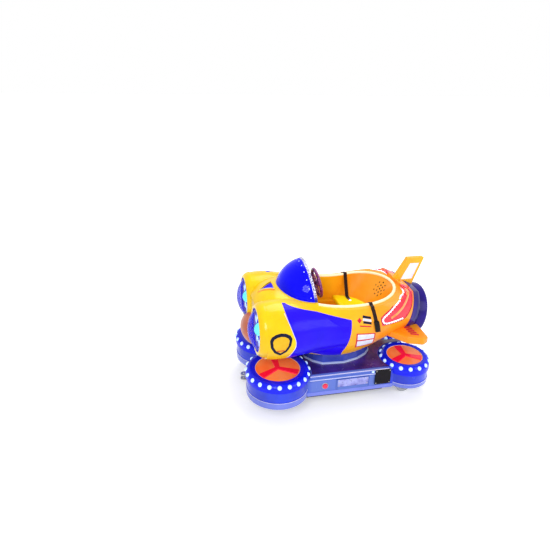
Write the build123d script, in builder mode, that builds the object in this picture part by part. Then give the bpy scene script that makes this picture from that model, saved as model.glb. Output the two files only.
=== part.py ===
from build123d import *
import math
import os

os.makedirs("parts", exist_ok=True)

# One car of a children's track train, shaped as a small space ship. Millimetres.
# X runs forward to the nose, Y to the car's left, Z up. The floor is z = 0, where the
# wheel flanges stand, and x = 0 is halfway between the two ends.

sides = (("left", 1), ("right", -1))

# Running gear
gauge = 480.0  # between the centres of the two rail tubes
rail_tube_r = 12.5
groove_clearance = 1.0
flange_r = 60.0
wheel_width = 40.0
hub_r = 24.0
hub_length = 52.0
web_thickness = 16.0
wheel_rim_depth = 22.0
axle_r = 12.5
fit_clearance = 0.05
axle_cap_r = 18.0
axle_cap_length = 6.0
pedestal_y = 192.0
pedestal_thickness = 14.0
pedestal_foot = 56.0
pedestal_head = 110.0
pedestal_bottom_z = 34.0
bogie_plate_z = 85.0
bogie_plate_thickness = 12.0
bogie_plate_round = 12.0
kingpin_r = 15.0
kingpin_collar_r = 42.0
kingpin_nut_r = 26.0
kingpin_nut_height = 12.0
lift_gap = 0.3  # between faces that slide on each other

# Pads at the four corners, one over each wheel. Columns: name, x, y, disc radius, skirt radius,
# rim radius, skirt bottom z, trim top z, skirt top z, disc top z, lamps on the rim
front_x = 505.0
rear_x = -513.0
pads = (
    ("front", front_x, 245.0, 166.0, 226.0, 236.0, 143.0, 190.0, 277.0, 328.0, 20),
    ("rear", rear_x, 224.0, 138.0, 184.0, 192.0, 137.0, 167.0, 245.0, 309.0, 16),
)
rim_wall_height = 26.0
rim_crest_rise = 10.0
rim_crest_width = 26.0
rim_crest_drop = 4.0
disc_thickness = 12.0
disc_gap = 0.3
spoke_rise = 7.0
spoke_inner_width = 34.0
spoke_outer_width = 62.0
spoke_margin = 10.0
spoke_turn = 30.0
spoke_taper = 25.0
pad_lamp_r = 16.0
pad_lamp_height = 9.0
pad_lamp_sink = 2.0
pad_lamp_taper = 35.0
pad_lamp_angle = 33.0  # above level, on the slope of the rim
pad_lamp_clearance = 8.0

# Base moulding and deck
base_wall = 12.0
base_half_width = 345.0
base_end_x = 580.0
base_bottom_z = 126.0
base_trim_top_z = 156.0
base_top_z = 300.0
ledge_proud = 8.0  # two beads run along each side, a groove between them
ledge_bottom_z = 246.0
ledge_groove_z = 279.0
ledge_groove = 8.0
ledge_round = 8.0
trim_proud = 3.0
deck_thickness = 4.0
deck_margin = 14.0
display_front_x = 85.0
display_rear_x = -180.0
display_proud = 12.0
display_bottom_z = 162.0
display_slope = 14.0
plate_front_x = 72.0
plate_rear_x = -167.0
plate_bottom_z = 186.0
plate_top_z = 246.0
plate_recess = 3.0
plate_thickness = 2.0
sign_front_x = -222.0
sign_rear_x = -345.0
sign_bottom_z = 170.0
sign_top_z = 292.0
sign_thickness = 12.0
button_x = 166.0
button_z = 201.0
button_r = 20.0
button_proud = 9.0
button_taper = 12.0

# Chassis
frame_bottom_z = 103.0
frame_height = 34.0
frame_rail_y = 130.0
frame_rail_width = 40.0
frame_end_x = 640.0
cross_x = 200.0
cross_width = 40.0
sill_y = 312.0
sill_width = 30.0
sill_half_length = 300.0
bolster_length = 96.0
post_x = 200.0
post_y = 240.0
motor_length = 240.0
motor_width = 200.0
motor_height = 120.0
motor_round = 10.0
motor_foot_inset = 30.0
motor_foot_height = 12.0

# Hitch, a clevis at each end
hitch_pin_r = 8.0
hitch_gap = 28.0
hitch_ear_thickness = 10.0
hitch_ear_r = 24.0
hitch_tip_x = 741.0
hitch_plate_width = 110.0
hitch_plate_height = 42.0
hitch_plate_round = 8.0
hitch_plate_thickness = 10.0

# Plinth under the body: outline half of it, from the front to the rear
plinth_points = (
    (262.0, 104.0),
    (214.0, 172.0),
    (150.0, 218.0),
    (-10.0, 229.0),
    (-130.0, 196.0),
    (-214.0, 146.0),
    (-262.0, 92.0),
)
plinth_round = 40.0
plinth_lip = 8.0
plinth_lip_height = 10.0
plinth_taper = 4.0
plinth_top_z = 520.0

# Body sections. Columns: x, bottom z, bottom half width, greatest half width, its z,
# top half width, top z at the edge, crown of the top
body_sections = (
    (655.0, 585.0, 50.0, 120.0, 690.0, 75.0, 782.0, 8.0),
    (575.0, 535.0, 110.0, 222.0, 690.0, 150.0, 838.0, 22.0),
    (455.0, 470.0, 170.0, 292.0, 670.0, 215.0, 854.0, 30.0),
    (238.0, 405.0, 225.0, 332.0, 620.0, 285.0, 846.0, 20.0),
    (-15.0, 393.0, 250.0, 338.0, 600.0, 294.0, 842.0, 20.0),
    (-200.0, 425.0, 225.0, 335.0, 610.0, 292.0, 846.0, 20.0),
    (-400.0, 482.0, 170.0, 303.0, 660.0, 262.0, 862.0, 14.0),
    (-540.0, 497.0, 140.0, 250.0, 680.0, 190.0, 838.0, 10.0),
    (-690.0, 500.0, 110.0, 190.0, 680.0, 130.0, 790.0, 8.0),
)
# Lamp barrels on both sides. Columns: x, centre y, centre z, half width, half height
barrel_sections = (
    (624.0, 260.0, 664.0, 198.0, 200.0),
    (560.0, 256.0, 663.0, 207.0, 209.0),
    (440.0, 245.0, 658.0, 206.0, 208.0),
    (240.0, 222.0, 636.0, 168.0, 186.0),
    (14.0, 208.0, 607.0, 148.0, 146.0),
)
lamp_y = 260.0
lamp_z = 672.0
lamp_r = 143.0
lamp_edge_x = 648.0
lamp_bulge = 8.0
lamp_thickness = 22.0
lamp_gap = 0.4
lip_front_x = 676.0
lip_r = 170.0
lip_width = 16.0
lip_root = 2.0
lip_slope = 0.1
lamp_dome_r = 47.0
lamp_dome_height = 34.0
lamp_dome_sink = 4.0
lens_r = 150.0
lens_bulge = 72.0
lens_seat_x = 660.0
lens_thickness = 4.0

# Where the nose cowl meets the cockpit body, seen from the side
seam_points = (
    (500.0, 900.0),
    (471.0, 779.0),
    (447.0, 715.0),
    (430.0, 665.0),
    (430.0, 618.0),
    (447.0, 577.0),
    (472.0, 520.0),
    (516.0, 430.0),
)
seam_top = seam_points[0]
seam_bottom = seam_points[-1]
# Blue side panel: its top edge falls from the seam to the rear corner
panel_rear_top = (-6.0, 723.0)
panel_rear_middle = (-8.0, 622.0)
panel_rear_bottom = (26.0, 440.0)
panel_front_top = (500.0, 877.0)
panel_inner_top_y = 268.0
panel_inner_bottom_y = 238.0
panel_bottom_z = 380.0
panel_overlap = 20.0

# Cockpit rim: side arcs, then a half circle that rises to the rear
rim_half_width = 273.0
rim_front = (232.0, 832.8)
rim_middle = (16.5, 796.6)
rim_turn = (-176.0, 803.0)
rim_rear_z = 838.0
rim_tube_width = 22.0
rim_tube_height = 14.0

# Tub inside
tub_half_width = 262.0  # at the rim
tub_front_x = 250.0
tub_above_rim = 60.0
tub_low_half_width = 240.0  # at the seat ledge
tub_low_turn_x = -92.0
tub_low_rear_x = -286.0
seat_ledge_z = 604.0
footwell_front_x = 285.0
footwell_rear_x = -70.0
footwell_half_width = 205.0
footwell_floor_z = 440.0
footwell_round = 30.0
seat_thickness = 36.0
seat_front_x = -58.0
seat_gap = 3.0
seat_round = 14.0

# Windscreen, part of a ball, cut by a leaning plane at its back
screen_r = 270.0
screen_centre = (213.7, 807.0)
screen_thickness = 5.0
screen_back_low = (250.0, 838.0)
screen_back_high = (287.0, 1075.0)
arch_depth = 9.0
arch_width = 20.0
dash_top_z = 884.0
dash_bottom_z = 700.0
dash_x = 226.0
dash_lean = 10.0
dash_gap = 1.0
column_length = 74.0

# Steering
wheel_centre = (160.0, 876.0)
wheel_ring_r = 106.0
wheel_tube_r = 12.0
wheel_tilt = 12.0
wheel_hub_r = 30.0
wheel_hub_length = 22.0
column_r = 15.0
spoke_width = 24.0
spoke_thickness = 8.0

# Tail lights, seen from the side
tail_top = (-438.0, 870.0)
tail_edge_top = (-425.0, 838.0)
tail_edge_middle = (-318.0, 788.0)
tail_tip_high = (-226.0, 722.0)
tail_tip_low = (-246.0, 652.0)
tail_low = (-430.0, 662.0)
tail_rear_low = (-488.0, 716.0)
tail_rear_middle = (-518.0, 785.0)
tail_rear_top = (-540.0, 870.0)
tail_depth = 22.0
tail_inner_y = 112.0

# Tail plane and thruster
tail_plane_low = (-549.0, 497.0)
tail_run = 0.192  # rearward for each millimetre up
tail_reach = 400.0
thruster_z = 610.0
thruster_r = 205.0
thruster_depth = 110.0
thruster_round = 26.0
thruster_face_r = 168.0
thruster_face_recess = 14.0
thruster_face_thickness = 10.0
thruster_boss_r = 84.0
thruster_boss_height = 4.0
thruster_boss_taper = 30.0

# Fin on the centre line, leaning back
fin_points = ((-430.0, 800.0), (-462.0, 868.0), (-561.0, 1036.0), (-694.0, 1036.0), (-598.0, 780.0))
fin_window = ((-518.0, 856.0), (-586.0, 990.0), (-682.0, 990.0), (-632.0, 856.0))
fin_thickness = 34.0
fin_light_thickness = 18.0

# Wings
wing_points = (
    (-300.0, 200.0),
    (-440.0, 378.0),
    (-548.0, 418.0),
    (-598.0, 388.0),
    (-612.0, 60.0),
    (-380.0, 60.0),
)
wing_bottom_z = 506.0
wing_thickness = 54.0
wing_tip_round = 30.0
wing_edge_round = 14.0

# Hood intake
intake_apex_x = 598.0
intake_rear_x = 502.0
intake_half_width = 60.0
intake_depth = 10.0
intake_thickness = 5.0
intake_lip_width = 11.0
intake_lip_rise = 7.0

# Chin under the nose
chin_top = (300.0, 622.0, 150.0)
chin_bottom = (275.0, 420.0, 140.0)
chin_bottom_z = 346.0
chin_top_z = 570.0
chin_top_round = 60.0
chin_bottom_round = 40.0
chin_bulge_centre = (600.0, 0.0, 540.0)
chin_bulge_reach = 140.0
chin_bulge_half_width = 210.0
chin_bulge_half_height = 110.0

# Belts. The strap's lower face seen from behind: along the seat, up the wall, over the rim
belt_width = 28.0
belt_thickness = 3.0
belt_gap = 0.3
belt_top_x = -165.0
belt_top_z = 800.0
belt_low_x = -214.0
belt_low_z = 612.0
belt_end_y = 60.0
belt_rise_y = 190.0
belt_rim_inner = (256.5, 803.0)
belt_rim_crest = (273.0, 819.4)
belt_rim_outer = (288.5, 804.6)
belt_edge = (316.0, 804.6)
belt_hang = (322.8, 786.0)
buckle_width = 38.0
buckle_length = 52.0
buckle_thickness = 9.0
buckle_round = 5.0
buckle_top_z = 703.0

axle_z = flange_r
groove_r = rail_tube_r + groove_clearance
kingpin_top_z = frame_bottom_z + frame_height + lift_gap
deck_z = base_top_z + deck_thickness
deck_under_z = base_top_z - base_wall


def side_plane(y=0.0):
    """Sketch plane with x forward and y up, at a distance to the car's left."""
    return Plane(origin=(0, y, 0), x_dir=(1, 0, 0), z_dir=(0, -1, 0))


# Wheels and axles: one grooved steel wheel over each rail tube
for end, bogie_x in (("front", front_x), ("rear", rear_x)):
    axle_plane = Plane(origin=(bogie_x, 0, axle_z), x_dir=(0, 1, 0), z_dir=(1, 0, 0))
    axle_line = Axis((bogie_x, 0, axle_z), (0, 1, 0))
    hub_outer = gauge / 2 + hub_length / 2
    with BuildPart() as axle:
        with BuildSketch(axle_plane):
            with BuildLine():
                Polyline(
                    (0, 0),
                    (0, axle_r),
                    (hub_outer + lift_gap, axle_r),
                    (hub_outer + lift_gap, axle_cap_r),
                    (hub_outer + lift_gap + axle_cap_length, axle_cap_r),
                    (hub_outer + lift_gap + axle_cap_length, 0),
                    (0, 0),
                )
            make_face()
        revolve(axis=axle_line)
        mirror(about=Plane.XZ)
    axle.part.label = f"{end}_axle"
    export_step(axle.part, f"parts/{end}_axle.step")

    with BuildPart() as wheels:
        half = gauge / 2
        bore = axle_r + fit_clearance
        rim_in = flange_r - wheel_rim_depth
        with BuildSketch(axle_plane):
            with BuildLine():
                Polyline(
                    (half - groove_r, flange_r),
                    (half - wheel_width / 2, flange_r),
                    (half - wheel_width / 2, rim_in),
                    (half - web_thickness / 2, rim_in),
                    (half - web_thickness / 2, hub_r),
                    (half - hub_length / 2, hub_r),
                    (half - hub_length / 2, bore),
                    (half + hub_length / 2, bore),
                    (half + hub_length / 2, hub_r),
                    (half + web_thickness / 2, hub_r),
                    (half + web_thickness / 2, rim_in),
                    (half + wheel_width / 2, rim_in),
                    (half + wheel_width / 2, flange_r),
                    (half + groove_r, flange_r),
                )
                ThreePointArc(
                    (half + groove_r, flange_r),
                    (half, flange_r - groove_r),
                    (half - groove_r, flange_r),
                )
            make_face()
        revolve(axis=axle_line)
        mirror(about=Plane.XZ)
    wheels.part.label = f"{end}_wheels"
    export_step(wheels.part, f"parts/{end}_wheels.step")

    # Bogie: two pedestals that hold the axle, a top plate and the kingpin it swivels on
    with BuildPart() as bogie:
        with BuildSketch(side_plane(pedestal_y - pedestal_thickness / 2)):
            with BuildLine():
                Polyline(
                    (bogie_x - pedestal_foot / 2, pedestal_bottom_z),
                    (bogie_x + pedestal_foot / 2, pedestal_bottom_z),
                    (bogie_x + pedestal_head / 2, bogie_plate_z),
                    (bogie_x - pedestal_head / 2, bogie_plate_z),
                    (bogie_x - pedestal_foot / 2, pedestal_bottom_z),
                )
            make_face()
        extrude(amount=-pedestal_thickness)
        mirror(about=Plane.XZ)
        with BuildSketch(Plane.XY.offset(bogie_plate_z)):
            with Locations((bogie_x, 0)):
                RectangleRounded(pedestal_head, 2 * pedestal_y + pedestal_thickness, bogie_plate_round)
        extrude(amount=bogie_plate_thickness)
        with BuildSketch(Plane.XY.offset(bogie_plate_z + bogie_plate_thickness)):
            with Locations((bogie_x, 0)):
                Circle(kingpin_collar_r)
        extrude(amount=frame_bottom_z - lift_gap - bogie_plate_z - bogie_plate_thickness)
        with BuildSketch(Plane.XY.offset(frame_bottom_z - lift_gap)):
            with Locations((bogie_x, 0)):
                Circle(kingpin_r)
        extrude(amount=kingpin_top_z - frame_bottom_z + lift_gap)
        with BuildSketch(Plane.XY.offset(kingpin_top_z)):
            with Locations((bogie_x, 0)):
                RegularPolygon(kingpin_nut_r, 6)
        extrude(amount=kingpin_nut_height)
        with BuildSketch(Plane.XZ.offset(-gauge / 2)):
            with Locations((bogie_x, axle_z)):
                Circle(axle_r + fit_clearance)
        extrude(amount=gauge, mode=Mode.SUBTRACT)
    bogie.part.label = f"{end}_bogie"
    export_step(bogie.part, f"parts/{end}_bogie.step")

# Chassis: welded frame that rests on both bogies and carries the moulding on posts
with BuildPart() as chassis:
    with BuildSketch(Plane.XY.offset(frame_bottom_z)):
        with Locations((0, frame_rail_y), (0, -frame_rail_y)):
            Rectangle(2 * frame_end_x, frame_rail_width)
        with Locations((cross_x, 0), (-cross_x, 0)):
            Rectangle(cross_width, 2 * sill_y)
        with Locations((0, sill_y), (0, -sill_y)):
            Rectangle(2 * sill_half_length, sill_width)
        with Locations((front_x, 0), (rear_x, 0)):
            Rectangle(bolster_length, 2 * frame_rail_y)
            Circle(kingpin_r + fit_clearance, mode=Mode.SUBTRACT)
        with Locations((frame_end_x, 0), (-frame_end_x, 0)):
            Rectangle(frame_rail_width, 2 * frame_rail_y + frame_rail_width)
    extrude(amount=frame_height)
    with BuildSketch(Plane.XY.offset(frame_bottom_z + frame_height)):
        with GridLocations(2 * post_x, 2 * post_y, 2, 2):
            Rectangle(cross_width, cross_width)
    extrude(amount=deck_under_z - frame_bottom_z - frame_height)
chassis.part.label = "chassis_frame"
export_step(chassis.part, "parts/chassis_frame.step")

# Drive unit, one plain block on the frame
with BuildPart() as motor:
    with BuildSketch(Plane.XY.offset(frame_bottom_z + frame_height)):
        RectangleRounded(motor_length, motor_width, motor_round)
    extrude(amount=motor_height)
# Its feet stand on the frame rails
motor_seat = frame_rail_y + frame_rail_width / 2
with BuildPart() as motor_unit:
    add(motor.part)
    with BuildSketch(Plane.XY.offset(frame_bottom_z + frame_height)):
        Rectangle(motor_length - 2 * motor_foot_inset, 2 * motor_seat)
    extrude(amount=motor_foot_height)
motor_unit.part.label = "drive_unit"
export_step(motor_unit.part, "parts/drive_unit.step")

# Hitches: two ears with a pin bore, on a plate against the end of the frame
hitch_mid_z = frame_bottom_z + frame_height / 2
for end, sign in (("front", 1), ("rear", -1)):
    plate_x = frame_end_x + frame_rail_width / 2
    with BuildPart() as hitch:
        with BuildSketch(Plane.YZ.offset(sign * plate_x)):
            with Locations((0, hitch_mid_z)):
                RectangleRounded(hitch_plate_width, hitch_plate_height, hitch_plate_round)
        extrude(amount=sign * hitch_plate_thickness)
        for ear_z in (hitch_mid_z - hitch_gap / 2 - hitch_ear_thickness, hitch_mid_z + hitch_gap / 2):
            with BuildSketch(Plane.XY.offset(ear_z)):
                with BuildLine():
                    root_x = sign * (plate_x + hitch_plate_thickness)
                    pin_x = sign * (hitch_tip_x - hitch_ear_r)
                    Polyline(
                        (pin_x, hitch_ear_r),
                        (root_x, hitch_ear_r),
                        (root_x, -hitch_ear_r),
                        (pin_x, -hitch_ear_r),
                    )
                    ThreePointArc((pin_x, -hitch_ear_r), (sign * hitch_tip_x, 0), (pin_x, hitch_ear_r))
                make_face()
                with Locations((pin_x, 0)):
                    Circle(hitch_pin_r, mode=Mode.SUBTRACT)
            extrude(amount=hitch_ear_thickness)
    hitch.part.label = f"{end}_hitch"
    export_step(hitch.part, f"parts/{end}_hitch.step")

# Trim band round the foot of the skirt: lower along the sides than round the pads
with BuildPart() as skirt_trim:
    for name, x, y, disc_r, skirt_r, rim_r, bottom_z, trim_z, skirt_z, disc_z, lamps in pads:
        with BuildSketch(Plane.XY.offset(bottom_z)):
            with Locations((x, y), (x, -y)):
                Circle(skirt_r + trim_proud)
        extrude(amount=trim_z - bottom_z)
    with BuildSketch(Plane.XY.offset(base_bottom_z)):
        Rectangle(2 * base_end_x, 2 * (base_half_width + trim_proud))
    extrude(amount=base_trim_top_z - base_bottom_z)
    for name, x, y, disc_r, skirt_r, rim_r, bottom_z, trim_z, skirt_z, disc_z, lamps in pads:
        with BuildSketch(Plane.XY.offset(base_bottom_z)):
            with Locations((x, y), (x, -y)):
                Circle(skirt_r - base_wall)
        extrude(amount=trim_z - base_bottom_z, mode=Mode.SUBTRACT)
        with BuildSketch(Plane.XY.offset(base_bottom_z)):
            with Locations((x, y), (x, -y)):
                Circle(skirt_r + trim_proud)
        extrude(amount=bottom_z - base_bottom_z, mode=Mode.SUBTRACT)
    with BuildSketch(Plane.XY.offset(base_bottom_z)):
        Rectangle(2 * (base_end_x - base_wall), 2 * (base_half_width - base_wall))
    extrude(amount=pads[0][7] - base_bottom_z, mode=Mode.SUBTRACT)
skirt_trim.part.label = "skirt_trim"
export_step(skirt_trim.part, "parts/skirt_trim.step")

# Base moulding: a plank with a ledge along each side, joined to four round skirts, open below
with BuildPart() as trim_block:
    for name, x, y, disc_r, skirt_r, rim_r, bottom_z, trim_z, skirt_z, disc_z, lamps in pads:
        with BuildSketch(Plane.XY.offset(base_bottom_z)):
            with Locations((x, y), (x, -y)):
                Circle(skirt_r + trim_proud)
        extrude(amount=trim_z - base_bottom_z)

with BuildPart() as base_void:
    with BuildSketch(Plane.XY.offset(base_bottom_z)):
        Rectangle(2 * (base_end_x - base_wall), 2 * (base_half_width - base_wall))
    extrude(amount=deck_under_z - base_bottom_z)
    for name, x, y, disc_r, skirt_r, rim_r, bottom_z, trim_z, skirt_z, disc_z, lamps in pads:
        with BuildSketch(Plane.XY.offset(skirt_z - base_wall)):
            with Locations((x, y), (x, -y)):
                Circle(rim_r + base_wall)
        extrude(amount=base_top_z - skirt_z + base_wall, mode=Mode.SUBTRACT)
    for name, x, y, disc_r, skirt_r, rim_r, bottom_z, trim_z, skirt_z, disc_z, lamps in pads:
        with BuildSketch(Plane.XY.offset(base_bottom_z)):
            with Locations((x, y), (x, -y)):
                Circle(skirt_r - base_wall)
        extrude(amount=skirt_z - base_wall - base_bottom_z)

with BuildPart() as base:
    with BuildSketch(Plane.YZ.offset(-base_end_x)):
        with BuildLine():
            ledge_y = base_half_width + ledge_proud
            Polyline(
                (0, base_trim_top_z),
                (base_half_width, base_trim_top_z),
                (base_half_width, ledge_bottom_z),
                (ledge_y, ledge_bottom_z + ledge_proud),
                (ledge_y, ledge_groove_z - ledge_groove),
                (base_half_width, ledge_groove_z - ledge_groove / 2),
                (base_half_width, ledge_groove_z + ledge_groove / 2),
                (ledge_y, ledge_groove_z + ledge_groove),
                (ledge_y - ledge_round, base_top_z),
                (0, base_top_z),
                (0, base_trim_top_z),
            )
        make_face()
        mirror(about=Plane.YZ)
    extrude(amount=2 * base_end_x)
    for name, x, y, disc_r, skirt_r, rim_r, bottom_z, trim_z, skirt_z, disc_z, lamps in pads:
        with BuildSketch(Plane.XY.offset(trim_z)):
            with Locations((x, y), (x, -y)):
                Circle(skirt_r)
        extrude(amount=skirt_z - trim_z)
        with BuildSketch(Plane.XY.offset(skirt_z)):
            with Locations((x, y), (x, -y)):
                Circle(rim_r + pad_lamp_clearance)
        extrude(amount=base_top_z - skirt_z, mode=Mode.SUBTRACT)
    add(trim_block.part, mode=Mode.SUBTRACT)
    add(base_void.part, mode=Mode.SUBTRACT)
base.part.label = "base_moulding"
export_step(base.part, "parts/base_moulding.step")

# Pads: a rounded rim with lamps, a sunk disc and a raised three-armed spoke on each
with BuildPart() as discs:
    for name, x, y, disc_r, skirt_r, rim_r, bottom_z, trim_z, skirt_z, disc_z, lamps in pads:
        with BuildSketch(Plane.XY.offset(disc_z - disc_thickness)):
            with Locations((x, y), (x, -y)):
                Circle(disc_r)
        extrude(amount=disc_thickness)
discs.part.label = "pad_discs"
export_step(discs.part, "parts/pad_discs.step")

with BuildPart() as spokes:
    for name, x, y, disc_r, skirt_r, rim_r, bottom_z, trim_z, skirt_z, disc_z, lamps in pads:
        with BuildSketch(Plane.XY.offset(disc_z)):
            with Locations((x, y)):
                with PolarLocations(0, 3, start_angle=spoke_turn):
                    Polygon(
                        (0, spoke_inner_width / 2),
                        (0, -spoke_inner_width / 2),
                        (disc_r - spoke_margin, -spoke_outer_width / 2),
                        (disc_r - spoke_margin, spoke_outer_width / 2),
                        align=None,
                    )
        extrude(amount=spoke_rise, taper=spoke_taper)
    mirror(about=Plane.XZ)
spokes.part.label = "pad_spokes"
export_step(spokes.part, "parts/pad_spokes.step")

for name, x, y, disc_r, skirt_r, rim_r, bottom_z, trim_z, skirt_z, disc_z, lamps in pads:
    crest_z = disc_z + rim_crest_rise
    wall_z = skirt_z + rim_wall_height
    inner_r = disc_r + disc_gap
    with BuildPart() as rim_ring:
        with BuildSketch(Plane(origin=(x, y, 0), x_dir=(1, 0, 0), z_dir=(0, -1, 0))):
            with BuildLine():
                Polyline(
                    (inner_r + rim_crest_width, crest_z),
                    (inner_r, crest_z - rim_crest_drop),
                    (inner_r, disc_z - disc_thickness),
                    (inner_r - base_wall, disc_z - disc_thickness),
                    (inner_r - base_wall, skirt_z),
                    (rim_r, skirt_z),
                    (rim_r, wall_z),
                )
                TangentArc((rim_r, wall_z), (inner_r + rim_crest_width, crest_z), tangent=(0, 1))
            make_face()
        revolve(axis=Axis((x, y, 0), (0, 0, 1)))
        # The lamps stand on the slope of the rim, square to its arc
        slope_run = rim_r - inner_r - rim_crest_width
        slope_r = (slope_run**2 + (crest_z - wall_z) ** 2) / (2 * slope_run)
        lamp_out = math.cos(math.radians(pad_lamp_angle))
        lamp_up = math.sin(math.radians(pad_lamp_angle))
        seat_r = rim_r - slope_r + (slope_r - pad_lamp_sink) * lamp_out
        seat_z = wall_z + (slope_r - pad_lamp_sink) * lamp_up
        for step in range(lamps):
            turn = 2 * math.pi * (step + 0.5) / lamps
            with BuildSketch(
                Plane(
                    origin=(x + seat_r * math.cos(turn), y + seat_r * math.sin(turn), seat_z),
                    x_dir=(-math.sin(turn), math.cos(turn), 0),
                    z_dir=(lamp_out * math.cos(turn), lamp_out * math.sin(turn), lamp_up),
                )
            ):
                Circle(pad_lamp_r)
            extrude(amount=pad_lamp_height, taper=pad_lamp_taper)
    with BuildPart() as rims:
        add(rim_ring.part)
        mirror(about=Plane.XZ)
    rims.part.label = f"{name}_pad_rims"
    export_step(rims.part, f"parts/{name}_pad_rims.step")

# Deck: a thin dark tread plate on the plank, inside the ledges and clear of the pad rims
with BuildPart() as deck:
    with BuildSketch(Plane.XY.offset(base_top_z)):
        Rectangle(2 * base_end_x - 2 * deck_margin, 2 * (base_half_width - deck_margin))
        for name, x, y, disc_r, skirt_r, rim_r, bottom_z, trim_z, skirt_z, disc_z, lamps in pads:
            with Locations((x, y), (x, -y)):
                Circle(rim_r + deck_margin, mode=Mode.SUBTRACT)
    extrude(amount=deck_thickness)
deck.part.label = "deck_plate"
export_step(deck.part, "parts/deck_plate.step")

# Side fittings: raised section, display plate, sign plate and push button on each side
with BuildPart() as display_panels:
    with BuildSketch(Plane.XY.offset(display_bottom_z)):
        with BuildLine():
            Polyline(
                (display_front_x, base_half_width),
                (display_front_x - display_slope, base_half_width + display_proud),
                (display_rear_x + display_slope, base_half_width + display_proud),
                (display_rear_x, base_half_width),
                (display_front_x, base_half_width),
            )
        make_face()
    extrude(amount=ledge_bottom_z - display_bottom_z)
    with BuildSketch(Plane.XZ.offset(-base_half_width - display_proud + plate_recess)):
        with Locations(((plate_front_x + plate_rear_x) / 2, (plate_bottom_z + plate_top_z) / 2)):
            Rectangle(plate_front_x - plate_rear_x, plate_top_z - plate_bottom_z)
    extrude(amount=-plate_recess, mode=Mode.SUBTRACT)
    mirror(about=Plane.XZ)
display_panels.part.label = "display_panels"
export_step(display_panels.part, "parts/display_panels.step")

with BuildPart() as display_plates:
    with BuildSketch(Plane.XZ.offset(-base_half_width - display_proud + plate_recess)):
        with Locations(((plate_front_x + plate_rear_x) / 2, (plate_bottom_z + plate_top_z) / 2)):
            Rectangle(plate_front_x - plate_rear_x, plate_top_z - plate_bottom_z)
    extrude(amount=-plate_thickness)
    mirror(about=Plane.XZ)
display_plates.part.label = "display_plates"
export_step(display_plates.part, "parts/display_plates.step")

with BuildPart() as sign_plates:
    with BuildSketch(Plane.XZ.offset(-base_half_width)):
        with Locations(((sign_front_x + sign_rear_x) / 2, (sign_bottom_z + sign_top_z) / 2)):
            Rectangle(sign_front_x - sign_rear_x, sign_top_z - sign_bottom_z)
    extrude(amount=-sign_thickness)
    add(base.part, mode=Mode.SUBTRACT)
    mirror(about=Plane.XZ)
sign_plates.part.label = "sign_plates"
export_step(sign_plates.part, "parts/sign_plates.step")

with BuildPart() as buttons:
    with BuildSketch(Plane.XZ.offset(-base_half_width)):
        with Locations((button_x, button_z)):
            Circle(button_r)
    extrude(amount=-button_proud, taper=button_taper)
    mirror(about=Plane.XZ)
buttons.part.label = "push_buttons"
export_step(buttons.part, "parts/push_buttons.step")


def body_loft(inset):
    """The middle of the body as one loft, all its faces moved inward by the inset."""
    with BuildPart() as form:
        for x, low_z, low_y, wide_y, wide_z, top_y, top_z, crown in body_sections:
            with BuildSketch(Plane.YZ.offset(x)):
                with BuildLine():
                    Line((-low_y + inset, low_z + inset), (low_y - inset, low_z + inset))
                    ThreePointArc(
                        (low_y - inset, low_z + inset),
                        (wide_y - inset, wide_z),
                        (top_y - inset, top_z - inset),
                    )
                    ThreePointArc(
                        (top_y - inset, top_z - inset),
                        (0, top_z + crown - inset),
                        (-top_y + inset, top_z - inset),
                    )
                    ThreePointArc(
                        (-top_y + inset, top_z - inset),
                        (-wide_y + inset, wide_z),
                        (-low_y + inset, low_z + inset),
                    )
                make_face()
        loft()
    return form.part


# Outer form of the body: the middle loft and a lamp barrel on each side
with BuildPart() as barrel:
    for x, y, z, half_y, half_z in barrel_sections:
        with BuildSketch(Plane.YZ.offset(x)):
            with Locations((y, z)):
                Ellipse(half_y, half_z)
    loft()
    barrel_front = barrel_sections[0]
    with BuildSketch(Plane(origin=(0, lamp_y, lamp_z), x_dir=(1, 0, 0), z_dir=(0, -1, 0))):
        with BuildLine():
            Polyline(
                (lip_front_x, lip_r),
                (lip_front_x, lip_r - lip_width),
                (barrel_front[0] - lip_root, lip_r - 2 * lip_width),
                (barrel_front[0] - lip_root, barrel_front[3]),
                (barrel_front[0], barrel_front[3]),
            )
            TangentArc((barrel_front[0], barrel_front[3]), (lip_front_x, lip_r), tangent=(1, -lip_slope))
        make_face()
    revolve(axis=Axis((0, lamp_y, lamp_z), (1, 0, 0)))

with BuildPart() as lamp_pocket:
    for pocket_x, pocket_r in ((lamp_edge_x - lamp_thickness, lamp_r), (lens_seat_x, lens_r)):
        with BuildSketch(Plane.YZ.offset(pocket_x)):
            with Locations((lamp_y, lamp_z), (-lamp_y, lamp_z)):
                Circle(pocket_r + lamp_gap)
        extrude(amount=lip_front_x)

with BuildPart() as outer_form:
    add(body_loft(0.0))
    add(barrel.part)
    add(mirror(barrel.part, about=Plane.XZ))

with BuildPart() as nose_region:
    with BuildSketch(side_plane(base_half_width * 2)):
        with BuildLine():
            Polyline(
                seam_bottom,
                (seam_bottom[0], 0),
                (hitch_tip_x, 0),
                (hitch_tip_x, 2 * seam_top[1]),
                (seam_top[0], 2 * seam_top[1]),
                seam_top,
            )
            Spline(*seam_points)
        make_face()
    extrude(amount=base_half_width * 4)


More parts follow.
